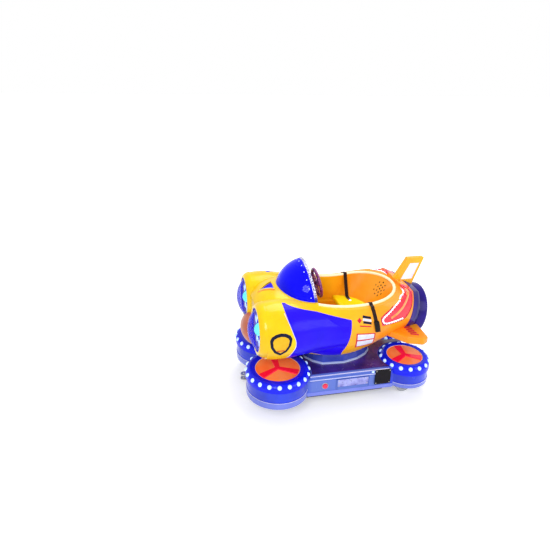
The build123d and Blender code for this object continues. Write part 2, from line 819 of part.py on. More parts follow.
with BuildPart() as panel_region:
    with BuildSketch(side_plane()):
        with BuildLine():
            Polyline(
                seam_bottom,
                (seam_bottom[0], panel_bottom_z),
                (panel_rear_bottom[0], panel_bottom_z),
                panel_rear_bottom,
            )
            ThreePointArc(panel_rear_bottom, panel_rear_middle, panel_rear_top)
            Polyline(
                panel_rear_top,
                panel_front_top,
                (seam_top[0] + panel_overlap, panel_front_top[1]),
                (seam_top[0] + panel_overlap, seam_bottom[1]),
                seam_bottom,
            )
        make_face()
    extrude(amount=-base_half_width * 2)
    with BuildSketch(Plane.YZ.offset(-base_half_width)):
        Polygon(
            (0, 0),
            (panel_inner_bottom_y, 0),
            (panel_inner_bottom_y, panel_bottom_z),
            (panel_inner_top_y, panel_rear_top[1]),
            (panel_inner_top_y, 2 * panel_front_top[1]),
            (0, 2 * panel_front_top[1]),
            align=None,
        )
    extrude(amount=hitch_tip_x + base_half_width, mode=Mode.SUBTRACT)

# Hood intake: a sunk blue triangle that points forward, between two raised lips
intake_corners = (
    (intake_apex_x, 0),
    (intake_rear_x, intake_half_width),
    (intake_rear_x, -intake_half_width),
)
with BuildPart() as intake_column:
    with BuildSketch(Plane.XY.offset(lamp_z)):
        Polygon(*intake_corners, align=None)
    extrude(amount=lamp_z)

with BuildPart() as intake_lips:
    with BuildSketch(Plane.XY.offset(lamp_z)):
        Polygon(
            (intake_apex_x + 2 * intake_lip_width, 0),
            (intake_rear_x, intake_half_width + intake_lip_width),
            (intake_rear_x, -intake_half_width - intake_lip_width),
            align=None,
        )
        Polygon(*intake_corners, align=None, mode=Mode.SUBTRACT)
    extrude(amount=lamp_z)
    add(body_loft(-intake_lip_rise), mode=Mode.INTERSECT)

with BuildPart() as intake_pocket:
    add(intake_column.part)
    add(body_loft(intake_depth), mode=Mode.SUBTRACT)

with BuildPart() as nose:
    add(outer_form.part)
    add(nose_region.part, mode=Mode.INTERSECT)
    add(intake_lips.part)
    add(lamp_pocket.part, mode=Mode.SUBTRACT)
    add(intake_pocket.part, mode=Mode.SUBTRACT)
nose.part.label = "nose_cowl"
export_step(nose.part, "parts/nose_cowl.step")

with BuildPart() as intake_floor:
    add(intake_pocket.part)
    add(body_loft(intake_depth - intake_thickness), mode=Mode.INTERSECT)
intake_floor.part.label = "hood_intake"
export_step(intake_floor.part, "parts/hood_intake.step")

# Blue side panels, flush with the barrels
with BuildPart() as side_panel:
    add(outer_form.part)
    add(nose_region.part, mode=Mode.SUBTRACT)
    add(panel_region.part, mode=Mode.INTERSECT)
for side, y_sign in sides:
    panel_part = side_panel.part if y_sign > 0 else mirror(side_panel.part, about=Plane.XZ)
    panel_part.label = f"side_panel_{side}"
    export_step(panel_part, f"parts/side_panel_{side}.step")

# Space over the rim line, from the windscreen to the rear of the cockpit
rim_rise = (rim_rear_z - rim_turn[1]) / rim_half_width
rim_reach = rim_half_width + rim_tube_width
with BuildPart() as over_rim:
    with BuildSketch(side_plane(base_half_width)):
        with BuildLine():
            Polyline(
                rim_front,
                (rim_front[0], 2 * rim_front[1]),
                (rim_turn[0] - rim_reach, 2 * rim_front[1]),
                (rim_turn[0] - rim_reach, rim_turn[1] + rim_reach * rim_rise),
                rim_turn,
            )
            ThreePointArc(rim_turn, rim_middle, rim_front)
        make_face()
    extrude(amount=base_half_width * 2)

# The hollow of the tub: a leaning back and sides down to the seat ledge, then the footwell.
# Columns: z, half width, where the round back starts, its rearmost point
tub_high_z = rim_front[1] + tub_above_rim
tub_rise = (tub_high_z - seat_ledge_z) / (rim_front[1] - seat_ledge_z)
tub_levels = (
    (seat_ledge_z, tub_low_half_width, tub_low_turn_x, tub_low_rear_x),
    (
        tub_high_z,
        tub_low_half_width + (tub_half_width - tub_low_half_width) * tub_rise,
        tub_low_turn_x + (rim_turn[0] - tub_low_turn_x) * tub_rise,
        tub_low_rear_x + (rim_turn[0] - tub_half_width - tub_low_rear_x) * tub_rise,
    ),
)
with BuildPart() as tub_hollow:
    for level_z, half_width, turn_x, back_x in tub_levels:
        with BuildSketch(Plane.XY.offset(level_z)):
            with BuildLine():
                Polyline(
                    (turn_x, -half_width),
                    (tub_front_x, -half_width),
                    (tub_front_x, half_width),
                    (turn_x, half_width),
                )
                ThreePointArc((turn_x, half_width), (back_x, 0), (turn_x, -half_width))
            make_face()
    loft(ruled=True)
    with BuildSketch(Plane.XY.offset(footwell_floor_z)):
        with Locations(((footwell_front_x + footwell_rear_x) / 2, 0)):
            RectangleRounded(footwell_front_x - footwell_rear_x, 2 * footwell_half_width, footwell_round)
    extrude(amount=seat_ledge_z - footwell_floor_z)


def tail_prism(y_sign, inner_y):
    """Side outline of a tail light, as a prism out from the body's middle."""
    with BuildPart() as prism:
        with BuildSketch(side_plane(y_sign * inner_y)):
            with BuildLine():
                Polyline(tail_edge_top, tail_top, tail_rear_top, tail_rear_middle, tail_rear_low)
                Polyline(tail_rear_low, tail_low, tail_tip_low, tail_tip_high)
                ThreePointArc(tail_tip_high, tail_edge_middle, tail_edge_top)
            make_face()
        extrude(amount=-y_sign * base_half_width)
    return prism.part


inner_loft = body_loft(tail_depth)
with BuildPart() as behind_tail:
    with BuildSketch(side_plane(base_half_width)):
        Polygon(
            (tail_plane_low[0] - tail_reach * tail_run, tail_plane_low[1] + tail_reach),
            (tail_plane_low[0] - 2 * tail_reach, tail_plane_low[1] + tail_reach),
            (tail_plane_low[0] - 2 * tail_reach, tail_plane_low[1] - tail_reach),
            (tail_plane_low[0] + tail_reach * tail_run, tail_plane_low[1] - tail_reach),
            align=None,
        )
    extrude(amount=base_half_width * 2)

tail_pockets = {}
for side, y_sign in sides:
    with BuildPart() as pocket:
        add(tail_prism(y_sign, tail_inner_y))
        add(inner_loft, mode=Mode.SUBTRACT)
    tail_pockets[side] = pocket.part
    with BuildPart() as tail_light:
        add(pocket.part)
        add(outer_form.part, mode=Mode.INTERSECT)
        add(behind_tail.part, mode=Mode.SUBTRACT)
        add(over_rim.part, mode=Mode.SUBTRACT)
    tail_light.part.label = f"tail_light_{side}"
    export_step(tail_light.part, f"parts/tail_light_{side}.step")

with BuildPart() as cockpit:
    add(outer_form.part)
    add(nose_region.part, mode=Mode.SUBTRACT)
    add(behind_tail.part, mode=Mode.SUBTRACT)
    add(panel_region.part, mode=Mode.SUBTRACT)
    add(mirror(panel_region.part, about=Plane.XZ), mode=Mode.SUBTRACT)
    add(over_rim.part, mode=Mode.SUBTRACT)
    add(tub_hollow.part, mode=Mode.SUBTRACT)
    for side, y_sign in sides:
        add(tail_pockets[side], mode=Mode.SUBTRACT)
cockpit.part.label = "cockpit_body"
export_step(cockpit.part, "parts/cockpit_body.step")

# Light tube round the rim: flat below, rounded above
with BuildPart() as rim_light:
    with BuildLine() as rim_path:
        ThreePointArc(
            (rim_front[0], rim_half_width, rim_front[1]),
            (rim_middle[0], rim_half_width, rim_middle[1]),
            (rim_turn[0], rim_half_width, rim_turn[1]),
        )
        ThreePointArc(
            (rim_turn[0], rim_half_width, rim_turn[1]),
            (rim_turn[0] - rim_half_width, 0, rim_rear_z),
            (rim_turn[0], -rim_half_width, rim_turn[1]),
        )
        ThreePointArc(
            (rim_turn[0], -rim_half_width, rim_turn[1]),
            (rim_middle[0], -rim_half_width, rim_middle[1]),
            (rim_front[0], -rim_half_width, rim_front[1]),
        )
    start = rim_path.line % 0
    section_plane = Plane(origin=rim_path.line @ 0, x_dir=(0, -1, 0), z_dir=start)
    with BuildSketch(section_plane):
        with BuildLine():
            Line((-rim_tube_width / 2, 0), (rim_tube_width / 2, 0))
            ThreePointArc(
                (rim_tube_width / 2, 0), (0, rim_tube_height), (-rim_tube_width / 2, 0)
            )
        make_face()
    sweep(path=rim_path.line)
rim_light.part.label = "rim_light"
export_step(rim_light.part, "parts/rim_light.step")

# Lamps: a shallow face in each pocket, a mint dome at its middle and a clear bulging lens over both
lamp_axis = Axis((0, lamp_y, lamp_z), (1, 0, 0))
lamp_plane = Plane(origin=(0, lamp_y, lamp_z), x_dir=(1, 0, 0), z_dir=(0, -1, 0))
lamp_dome_x = lamp_edge_x + lamp_bulge - lamp_dome_sink
with BuildPart() as lamp_face:
    with BuildSketch(lamp_plane):
        with BuildLine():
            Polyline(
                (lamp_edge_x + lamp_bulge, 0),
                (lamp_edge_x - lamp_thickness, 0),
                (lamp_edge_x - lamp_thickness, lamp_r),
                (lamp_edge_x, lamp_r),
            )
            TangentArc((lamp_edge_x + lamp_bulge, 0), (lamp_edge_x, lamp_r), tangent=(0, 1))
        make_face()
    revolve(axis=lamp_axis)
    with BuildSketch(Plane.YZ.offset(lamp_dome_x)):
        with Locations((lamp_y, lamp_z)):
            Circle(lamp_dome_r + disc_gap)
    extrude(amount=lamp_bulge, mode=Mode.SUBTRACT)

with BuildPart() as lamp_dome:
    with BuildSketch(lamp_plane):
        with BuildLine():
            Polyline((lamp_dome_x + lamp_dome_height, 0), (lamp_dome_x, 0), (lamp_dome_x, lamp_dome_r))
            TangentArc(
                (lamp_dome_x + lamp_dome_height, 0),
                (lamp_dome_x, lamp_dome_r),
                tangent=(0, 1),
            )
        make_face()
    revolve(axis=lamp_axis)

with BuildPart() as lamp_lens:
    with BuildSketch(lamp_plane):
        with BuildLine():
            lens_top = (lens_seat_x + lens_bulge, 0)
            lens_inner_top = (lens_seat_x + lens_bulge - lens_thickness, 0)
            TangentArc(lens_top, (lens_seat_x + lens_thickness, lens_r), tangent=(0, 1))
            Polyline(
                (lens_seat_x + lens_thickness, lens_r),
                (lens_seat_x, lens_r),
                (lens_seat_x, lens_r - lens_thickness),
            )
            TangentArc(lens_inner_top, (lens_seat_x, lens_r - lens_thickness), tangent=(0, 1))
            Line(lens_inner_top, lens_top)
        make_face()
    revolve(axis=lamp_axis)

for side, y_sign in sides:
    for name, lamp_part in (("face", lamp_face), ("dome", lamp_dome), ("lens", lamp_lens)):
        piece = lamp_part.part if y_sign > 0 else mirror(lamp_part.part, about=Plane.XZ)
        piece.label = f"lamp_{name}_{side}"
        export_step(piece, f"parts/lamp_{name}_{side}.step")

# Thruster: a deep round housing on the leaning tail plane, with a dark face
tail_angle = math.degrees(math.atan(tail_run))
thruster_x = tail_plane_low[0] - (thruster_z - tail_plane_low[1]) * tail_run
thruster_plane = Plane(
    origin=(thruster_x, 0, thruster_z),
    x_dir=(0, 1, 0),
    z_dir=(-math.cos(math.radians(tail_angle)), 0, -math.sin(math.radians(tail_angle))),
)
with BuildPart() as thruster:
    with BuildSketch(thruster_plane):
        Circle(thruster_r)
    extrude(amount=thruster_depth)
    fillet(thruster.edges().filter_by(GeomType.CIRCLE), radius=thruster_round)
    with BuildSketch(thruster_plane.offset(thruster_depth)):
        Circle(thruster_face_r + disc_gap)
    extrude(amount=-thruster_face_recess, mode=Mode.SUBTRACT)
thruster.part.label = "thruster_housing"
export_step(thruster.part, "parts/thruster_housing.step")

with BuildPart() as thruster_face:
    with BuildSketch(thruster_plane.offset(thruster_depth - thruster_face_recess)):
        Circle(thruster_face_r)
    extrude(amount=thruster_face_thickness)
    with BuildSketch(thruster_plane.offset(thruster_depth - thruster_face_recess + thruster_face_thickness)):
        Circle(thruster_boss_r)
    extrude(amount=thruster_boss_height, taper=thruster_boss_taper)
thruster_face.part.label = "thruster_face"
export_step(thruster_face.part, "parts/thruster_face.step")

with BuildPart() as thruster_block:
    with BuildSketch(thruster_plane):
        Circle(thruster_r + disc_gap)
    extrude(amount=2 * thruster_depth)

# Fin: a frame, open to the rear, with a light panel in it
with BuildPart() as fin:
    with BuildSketch(side_plane(fin_thickness / 2)):
        Polygon(*fin_points, align=None)
        Polygon(*fin_window, align=None, mode=Mode.SUBTRACT)
    extrude(amount=fin_thickness)
    add(outer_form.part, mode=Mode.SUBTRACT)
fin.part.label = "fin_frame"
export_step(fin.part, "parts/fin_frame.step")

with BuildPart() as fin_light:
    with BuildSketch(side_plane(fin_light_thickness / 2)):
        Polygon(*fin_window, align=None)
    extrude(amount=fin_light_thickness)
    add(outer_form.part, mode=Mode.SUBTRACT)
fin_light.part.label = "fin_light"
export_step(fin_light.part, "parts/fin_light.step")

# Wings: thick swept slabs with rounded edges, one on each side of the tail
for side, y_sign in sides:
    with BuildPart() as wing:
        with BuildSketch(Plane.XY.offset(wing_bottom_z)):
            Polygon(*[(x, y_sign * y) for x, y in wing_points], align=None)
        extrude(amount=wing_thickness)
        fillet(wing.edges().filter_by(Axis.Z), radius=wing_tip_round)
        fillet(wing.edges().filter_by(Plane.XY), radius=wing_edge_round)
        add(outer_form.part, mode=Mode.SUBTRACT)
        add(thruster_block.part, mode=Mode.SUBTRACT)
    wing.part.label = f"wing_{side}"
    export_step(wing.part, f"parts/wing_{side}.step")

# Chin: a fairing below the nose, between the lamp barrels
with BuildPart() as chin_bulge:
    Sphere(chin_bulge_reach)
    scale(by=(1, chin_bulge_half_width / chin_bulge_reach, chin_bulge_half_height / chin_bulge_reach))
with BuildPart() as chin:
    with BuildSketch(Plane.XY.offset(chin_bottom_z)):
        with Locations(((chin_bottom[0] + chin_bottom[1]) / 2, 0)):
            RectangleRounded(chin_bottom[1] - chin_bottom[0], 2 * chin_bottom[2], chin_bottom_round)
    with BuildSketch(Plane.XY.offset(chin_top_z)):
        with Locations(((chin_top[0] + chin_top[1]) / 2, 0)):
            RectangleRounded(chin_top[1] - chin_top[0], 2 * chin_top[2], chin_top_round)
    loft()
    with Locations(chin_bulge_centre):
        add(chin_bulge.part)
    add(outer_form.part, mode=Mode.SUBTRACT)
    with BuildSketch(Plane.YZ.offset(barrel_front[0])):
        with Locations((lamp_y, lamp_z), (-lamp_y, lamp_z)):
            Circle(lip_r)
    extrude(amount=lip_front_x, mode=Mode.SUBTRACT)
chin.part.label = "chin_panel"
export_step(chin.part, "parts/chin_panel.step")

# Plinth between deck and body, with a lip at its foot
with BuildPart() as plinth:
    for grow, low_z, tall, taper in (
        (plinth_lip, deck_z, plinth_lip_height, 0),
        (0, deck_z + plinth_lip_height, plinth_top_z - deck_z - plinth_lip_height, plinth_taper),
    ):
        with BuildSketch(Plane.XY.offset(low_z)) as plinth_sketch:
            Polygon(
                *[(x, y) for x, y in plinth_points],
                *[(x, -y) for x, y in reversed(plinth_points)],
                align=None,
            )
            if grow:
                offset(amount=grow, kind=Kind.INTERSECTION)
            fillet(plinth_sketch.vertices(), radius=plinth_round)
        extrude(amount=tall, taper=taper)
    add(outer_form.part, mode=Mode.SUBTRACT)
    add(chin.part, mode=Mode.SUBTRACT)
plinth.part.label = "plinth"
export_step(plinth.part, "parts/plinth.step")

# Windscreen: a shell cut off by the leaning plane, with a light arch along its rear edge
back_run = (screen_back_high[0] - screen_back_low[0]) / (screen_back_high[1] - screen_back_low[1])


def screen_back_x(z):
    """Where the windscreen's rear edge is at a height."""
    return screen_back_low[0] + (z - screen_back_low[1]) * back_run


screen_low_z = screen_centre[1] - screen_r
screen_high_z = screen_centre[1] + 2 * screen_r
with BuildPart() as before_arch:
    with BuildSketch(side_plane(base_half_width)):
        Polygon(
            (screen_back_x(screen_low_z), screen_low_z),
            (screen_back_x(screen_high_z), screen_high_z),
            (screen_centre[0] + 2 * screen_r, screen_high_z),
            (screen_centre[0] + 2 * screen_r, screen_low_z),
            align=None,
        )
    extrude(amount=base_half_width * 2)
with BuildPart() as screen:
    with Locations((screen_centre[0], 0, screen_centre[1])):
        Sphere(screen_r)
        Sphere(screen_r - screen_thickness, mode=Mode.SUBTRACT)
    add(before_arch.part, mode=Mode.INTERSECT)
    add(outer_form.part, mode=Mode.SUBTRACT)
screen.part.label = "windscreen"
export_step(screen.part, "parts/windscreen.step")

arch_low_z = rim_front[1] + rim_tube_height
with BuildPart() as screen_arch:
    with BuildSketch(side_plane(base_half_width)):
        Polygon(
            (screen_back_x(arch_low_z), arch_low_z),
            (screen_back_x(screen_high_z), screen_high_z),
            (screen_back_x(screen_high_z) - arch_width, screen_high_z),
            (screen_back_x(arch_low_z) - arch_width, arch_low_z),
            align=None,
        )
    extrude(amount=base_half_width * 2)
    with Locations((screen_centre[0], 0, screen_centre[1])):
        Sphere(screen_r, mode=Mode.INTERSECT)
        Sphere(screen_r - arch_depth, mode=Mode.SUBTRACT)
    add(cockpit.part, mode=Mode.SUBTRACT)
screen_arch.part.label = "screen_arch"
export_step(screen_arch.part, "parts/screen_arch.step")

# Dash: a panel across the front of the tub, its top under the windscreen
with BuildPart() as dash:
    with BuildSketch(side_plane(tub_half_width)):
        Polygon(
            (dash_x, dash_bottom_z),
            (dash_x + dash_lean, dash_top_z),
            (tub_front_x, dash_top_z),
            (tub_front_x, dash_bottom_z),
            align=None,
        )
    extrude(amount=2 * tub_half_width)
    with Locations((screen_centre[0], 0, screen_centre[1])):
        Sphere(screen_r - arch_depth - dash_gap, mode=Mode.INTERSECT)
    add(tub_hollow.part, mode=Mode.INTERSECT)
dash.part.label = "dash"
export_step(dash.part, "parts/dash.step")

# Seat moulding on the ledge of the tub, a little smaller than the hollow
seat_half_width = tub_low_half_width - seat_gap
with BuildPart() as seat:
    with BuildSketch(Plane.XY.offset(seat_ledge_z)):
        with BuildLine():
            Polyline(
                (tub_low_turn_x, -seat_half_width),
                (seat_front_x, -seat_half_width),
                (seat_front_x, seat_half_width),
                (tub_low_turn_x, seat_half_width),
            )
            ThreePointArc(
                (tub_low_turn_x, seat_half_width),
                (tub_low_rear_x + seat_gap, 0),
                (tub_low_turn_x, -seat_half_width),
            )
        make_face()
    extrude(amount=seat_thickness)
    fillet(seat.faces().sort_by(Axis.Z)[-1].edges(), radius=seat_round)
seat.part.label = "seat"
export_step(seat.part, "parts/seat.step")

# Seat belts: a strap on each side lies on the seat, rises past the wall, crosses the rim and hangs
# down outside, where it leans back and ends in a buckle
belt_lean = (belt_top_x - belt_low_x) / (belt_top_z - belt_low_z)
seat_top_z = seat_ledge_z + seat_thickness


def belt_band(low_z, high_z, width):
    """The slanting strip of the outer strap between two heights, as a prism out to the side."""
    with BuildPart() as band:
        with BuildSketch(side_plane()):
            low_x = belt_low_x + (low_z - belt_low_z) * belt_lean
            high_x = belt_low_x + (high_z - belt_low_z) * belt_lean
            Polygon(
                (low_x - width / 2, low_z),
                (low_x + width / 2, low_z),
                (high_x + width / 2, high_z),
                (high_x - width / 2, high_z),
                align=None,
            )
        extrude(amount=-base_half_width * 2)
    return band.part


with BuildPart() as belt_outside:
    add(body_loft(-belt_gap - belt_thickness))
    add(body_loft(-belt_gap), mode=Mode.SUBTRACT)
    add(belt_band(belt_low_z, belt_top_z, belt_width), mode=Mode.INTERSECT)

with BuildPart() as belt:
    with BuildSketch(Plane.YZ.offset(belt_top_x - belt_width / 2)):
        with BuildLine():
            Polyline(
                (belt_end_y, seat_top_z + belt_gap),
                (belt_rise_y, seat_top_z + belt_gap),
                belt_rim_inner,
            )
            ThreePointArc(belt_rim_inner, belt_rim_crest, belt_rim_outer)
            Polyline(belt_rim_outer, belt_edge, belt_hang)
            offset(amount=belt_thickness, side=Side.LEFT)
        make_face()
    extrude(amount=belt_width)
    add(belt_outside.part)

with BuildPart() as buckle_outside:
    add(body_loft(-2 * belt_gap - belt_thickness - buckle_thickness))
    add(body_loft(-2 * belt_gap - belt_thickness), mode=Mode.SUBTRACT)
    add(belt_band(belt_low_z + belt_gap, buckle_top_z, buckle_width), mode=Mode.INTERSECT)

with BuildPart() as belt_buckles:
    with BuildSketch(Plane.XY.offset(seat_top_z + belt_gap)):
        with Locations((belt_top_x, belt_end_y - buckle_length / 2)):
            RectangleRounded(buckle_width, buckle_length, buckle_round)
    extrude(amount=buckle_thickness)
    add(buckle_outside.part)
    mirror(about=Plane.XZ)
belt_buckles.part.label = "belt_buckles"
export_step(belt_buckles.part, "parts/belt_buckles.step")

for side, y_sign in sides:
    strap = belt.part if y_sign > 0 else mirror(belt.part, about=Plane.XZ)
    strap.label = f"belt_{side}"
    export_step(strap, f"parts/belt_{side}.step")

# Steering wheel on a tilted column
steer_angle = math.radians(wheel_tilt)
steer_plane = Plane(
    origin=(wheel_centre[0], 0, wheel_centre[1]),
    x_dir=(0, 1, 0),
    z_dir=(-math.cos(steer_angle), 0, math.sin(steer_angle)),
)
with BuildPart() as steering_wheel:
    with BuildSketch(Plane(origin=steer_plane.origin, x_dir=steer_plane.x_dir, z_dir=steer_plane.y_dir)):
        with Locations((wheel_ring_r, 0)):
            Circle(wheel_tube_r)
    revolve(axis=Axis(steer_plane.origin, steer_plane.z_dir))
    with BuildSketch(steer_plane.offset(-wheel_hub_length / 2)):
        Circle(wheel_hub_r)
    extrude(amount=wheel_hub_length)
    with BuildSketch(steer_plane.offset(-spoke_thickness / 2)):
        with PolarLocations(0, 3, start_angle=90):
            with Locations((wheel_ring_r / 2, 0)):
                Rectangle(wheel_ring_r, spoke_width)
    extrude(amount=spoke_thickness)
steering_wheel.part.label = "steering_wheel"
export_step(steering_wheel.part, "parts/steering_wheel.step")

with BuildPart() as column:
    with BuildSketch(steer_plane.offset(-wheel_hub_length / 2 - lift_gap)):
        Circle(column_r)
    extrude(amount=-column_length)
    add(dash.part, mode=Mode.SUBTRACT)
column.part.label = "steering_column"
export_step(column.part, "parts/steering_column.step")
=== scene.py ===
import math

import bmesh
import bpy
from mathutils import Matrix, Vector


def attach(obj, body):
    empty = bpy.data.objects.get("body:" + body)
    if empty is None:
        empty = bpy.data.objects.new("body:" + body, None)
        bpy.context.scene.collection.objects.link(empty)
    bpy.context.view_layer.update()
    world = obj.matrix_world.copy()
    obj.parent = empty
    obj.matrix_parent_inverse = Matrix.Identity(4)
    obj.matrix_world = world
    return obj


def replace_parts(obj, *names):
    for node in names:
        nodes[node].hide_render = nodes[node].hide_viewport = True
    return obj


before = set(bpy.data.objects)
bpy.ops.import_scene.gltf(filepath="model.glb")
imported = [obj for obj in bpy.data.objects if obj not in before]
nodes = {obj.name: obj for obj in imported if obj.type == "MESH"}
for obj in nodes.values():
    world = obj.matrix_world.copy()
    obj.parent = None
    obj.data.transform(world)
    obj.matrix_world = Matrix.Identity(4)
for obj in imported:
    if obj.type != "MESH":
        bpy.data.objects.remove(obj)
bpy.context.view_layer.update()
scene = bpy.context.scene

# Camera: a standing adult's eye, ahead and to the left of the car, looking down on it. The picture is
# cut from a larger one, so the lens axis meets it above its middle.
camera_place = (1.2583, 3.3410, 2.4946)
camera_heading = 167.14
camera_down = 18.45
camera_roll = 1.43
picture_px = 550
focal_px = 506.6
axis_above_middle_px = 50
sensor_mm = 36.0

eye = bpy.data.cameras.new("camera")
eye.sensor_width = sensor_mm
eye.lens = sensor_mm * focal_px / picture_px
eye.shift_y = -axis_above_middle_px / picture_px
camera = bpy.data.objects.new("camera", eye)
camera.matrix_world = (
    Matrix.Translation(camera_place)
    @ Matrix.Rotation(math.radians(camera_heading), 4, "Z")
    @ Matrix.Rotation(math.radians(90.0 - camera_down), 4, "X")
    @ Matrix.Rotation(math.radians(camera_roll), 4, "Z")
)
scene.collection.objects.link(camera)
scene.camera = camera
scene.view_settings.view_transform = "Standard"


def linear(hex_colour):
    """sRGB hex colour as linear RGBA."""
    channels = [int(hex_colour[i:i + 2], 16) / 255 for i in (1, 3, 5)]
    turned = [c / 12.92 if c <= 0.04045 else ((c + 0.055) / 1.055) ** 2.4 for c in channels]
    return (*turned, 1.0)


def new_material(name, settings=None):
    """A material and its shader, as (material, shader). The settings go to the shader's inputs."""
    material = bpy.data.materials.new(name)
    material.use_nodes = True
    shader = material.node_tree.nodes["Principled BSDF"]
    for key, value in (settings or {}).items():
        shader.inputs[key].default_value = value
    return material, shader


def add_node(material, kind, settings=None, links=None):
    """One node in a material: settings by name or input, links from sockets to its inputs."""
    node = material.node_tree.nodes.new(kind)
    for key, value in (settings or {}).items():
        if isinstance(key, str) and hasattr(node, key):
            setattr(node, key, value)
        else:
            node.inputs[key].default_value = value
    for key, socket in (links or {}).items():
        material.node_tree.links.new(socket, node.inputs[key])
    return node


def seen_rays(material):
    """A socket that is 1 for rays the camera sends, straight, through glass or off a gloss."""
    rays = add_node(material, "ShaderNodeLightPath").outputs
    direct = add_node(
        material, "ShaderNodeMath", {"operation": "MAXIMUM"},
        {0: rays["Is Camera Ray"], 1: rays["Is Transmission Ray"]},
    )
    return add_node(
        material, "ShaderNodeMath", {"operation": "MAXIMUM"}, {0: direct.outputs[0], 1: rays["Is Glossy Ray"]}
    ).outputs[0]


def begin(add, **settings):
    """A new primitive, alone selected."""
    bpy.ops.object.select_all(action="DESELECT")
    add(**settings)
    return bpy.context.object


# Studio: a wide pale floor, three round soft lamps and a pale room. To the camera, floor and room
# show white; the floor keeps the car's soft shadow, and is lifted more where the lamps don't reach.
floor_size = 60.0
floor_colour = "#F4F4F6"
floor_lift_near = 0.36
floor_lift_far = 0.75
lit_reach = 3.2
room_strength = 0.5
lamps = (
    ("key_lamp", (2.2, 3.6, 3.4), 2.0, 105.0),
    ("fill_lamp", (-3.0, 3.0, 2.2), 2.6, 60.0),
    ("top_lamp", (-0.4, -1.4, 3.8), 2.6, 65.0),
)

floor = begin(bpy.ops.mesh.primitive_plane_add, size=floor_size, location=(0, 0, 0))
floor.name = "studio_floor"
floor_paper, shader = new_material("floor_paper", {
    "Base Color": linear(floor_colour), "Roughness": 0.7, "Emission Color": linear("#FFFFFF"),
})
on_floor = add_node(floor_paper, "ShaderNodeTexCoord").outputs["Object"]
away = add_node(floor_paper, "ShaderNodeVectorMath", {"operation": "LENGTH"}, {0: on_floor})
lift = add_node(
    floor_paper, "ShaderNodeMapRange",
    {"From Min": 1.0, "From Max": lit_reach, "To Min": floor_lift_near, "To Max": floor_lift_far},
    {"Value": away.outputs["Value"]},
)
lift_seen = add_node(
    floor_paper, "ShaderNodeMath", {"operation": "MULTIPLY"},
    {0: lift.outputs["Result"], 1: seen_rays(floor_paper)},
)
floor_paper.node_tree.links.new(lift_seen.outputs[0], shader.inputs["Emission Strength"])
floor.data.materials.append(floor_paper)

for name, place, width, watts in lamps:
    light = bpy.data.lights.new(name, "AREA")
    light.shape = "DISK"
    light.size = width
    light.energy = watts
    lamp = bpy.data.objects.new(name, light)
    lamp.location = place
    lamp.rotation_euler = (Vector((0, 0, 0.5)) - Vector(place)).to_track_quat("-Z", "Y").to_euler()
    scene.collection.objects.link(lamp)

room = bpy.data.worlds.new("room")
room.use_nodes = True
scene.world = room
room_light = room.node_tree.nodes["Background"]
room_light.inputs["Color"].default_value = linear("#FFFFFF")
strength = add_node(
    room, "ShaderNodeMath", {"operation": "MULTIPLY_ADD", 1: 1.0 - room_strength, 2: room_strength},
    {0: seen_rays(room)},
)
room.node_tree.links.new(strength.outputs[0], room_light.inputs["Strength"])


# Running gear: two turned axles, four grooved wheels of cast and turned steel. A lathe leaves fine
# rings, drawn 1.5 mm apart here so that they show, and the tread is polished by the rail.
def paint(material, *names):
    """Gives CAD nodes a material."""
    for name in names:
        mesh = nodes[name].data
        for index in range(max(1, len(mesh.materials))):
            if index < len(mesh.materials):
                mesh.materials[index] = material
            else:
                mesh.materials.append(material)


def surface(name, light, deep, patch_mm, rough, rough_spread, peel_mm, peel_height, settings=None):
    """A material in two shades in soft patches, with uneven gloss and a fine surface, by sizes in
    millimetres. Gives the material, its shader, its coordinates, its shades and its bump node."""
    material, shader = new_material(name, settings)
    where = add_node(material, "ShaderNodeTexCoord").outputs["Object"]
    patches = add_node(
        material, "ShaderNodeTexNoise", {"Scale": 1000.0 / patch_mm, "Detail": 4.0}, {"Vector": where}
    )
    spread = add_node(
        material, "ShaderNodeMapRange", {"From Min": 0.35, "From Max": 0.65},
        {"Value": patches.outputs["Fac"]},
    )
    shades = add_node(
        material, "ShaderNodeMix", {"data_type": "RGBA", 6: linear(deep), 7: linear(light)},
        {0: spread.outputs["Result"]},
    )
    gloss = add_node(
        material, "ShaderNodeTexNoise", {"Scale": 3500.0 / patch_mm, "Detail": 6.0}, {"Vector": where}
    )
    rough_map = add_node(
        material, "ShaderNodeMapRange",
        {"From Min": 0.3, "From Max": 0.7, "To Min": rough, "To Max": rough + rough_spread},
        {"Value": gloss.outputs["Fac"]},
    )
    peel = add_node(
        material, "ShaderNodeTexNoise", {"Scale": 1000.0 / peel_mm, "Detail": 2.0}, {"Vector": where}
    )
    bump = add_node(
        material, "ShaderNodeBump", {"Strength": 0.5, "Distance": peel_height / 1000.0},
        {"Height": peel.outputs["Fac"]},
    )
    links = material.node_tree.links
    links.new(shades.outputs[2], shader.inputs["Base Color"])
    links.new(rough_map.outputs["Result"], shader.inputs["Roughness"])
    links.new(bump.outputs["Normal"], shader.inputs["Normal"])
    return material, shader, where, shades, bump


turned_steel, shader, where, _, bump = surface(
    "turned_steel", "#B4B6BA", "#8E9094", 60.0, 0.25, 0.15, 1.5, 0.05,
    {"Metallic": 1.0},
)
ring_apart = 1.5
rings = add_node(
    turned_steel, "ShaderNodeTexWave",
    {"wave_type": "BANDS", "bands_direction": "Y", "Scale": 1000.0 / (ring_apart * 6.28), "Distortion": 0.4},
    {"Vector": where},
)
ring_bump = add_node(
    turned_steel, "ShaderNodeBump", {"Strength": 0.3, "Distance": 0.0002},
    {"Height": rings.outputs["Fac"], "Normal": bump.outputs["Normal"]},
)
turned_steel.node_tree.links.new(ring_bump.outputs["Normal"], shader.inputs["Normal"])
paint(turned_steel, "front_axle", "rear_axle", "front_wheels", "rear_wheels")

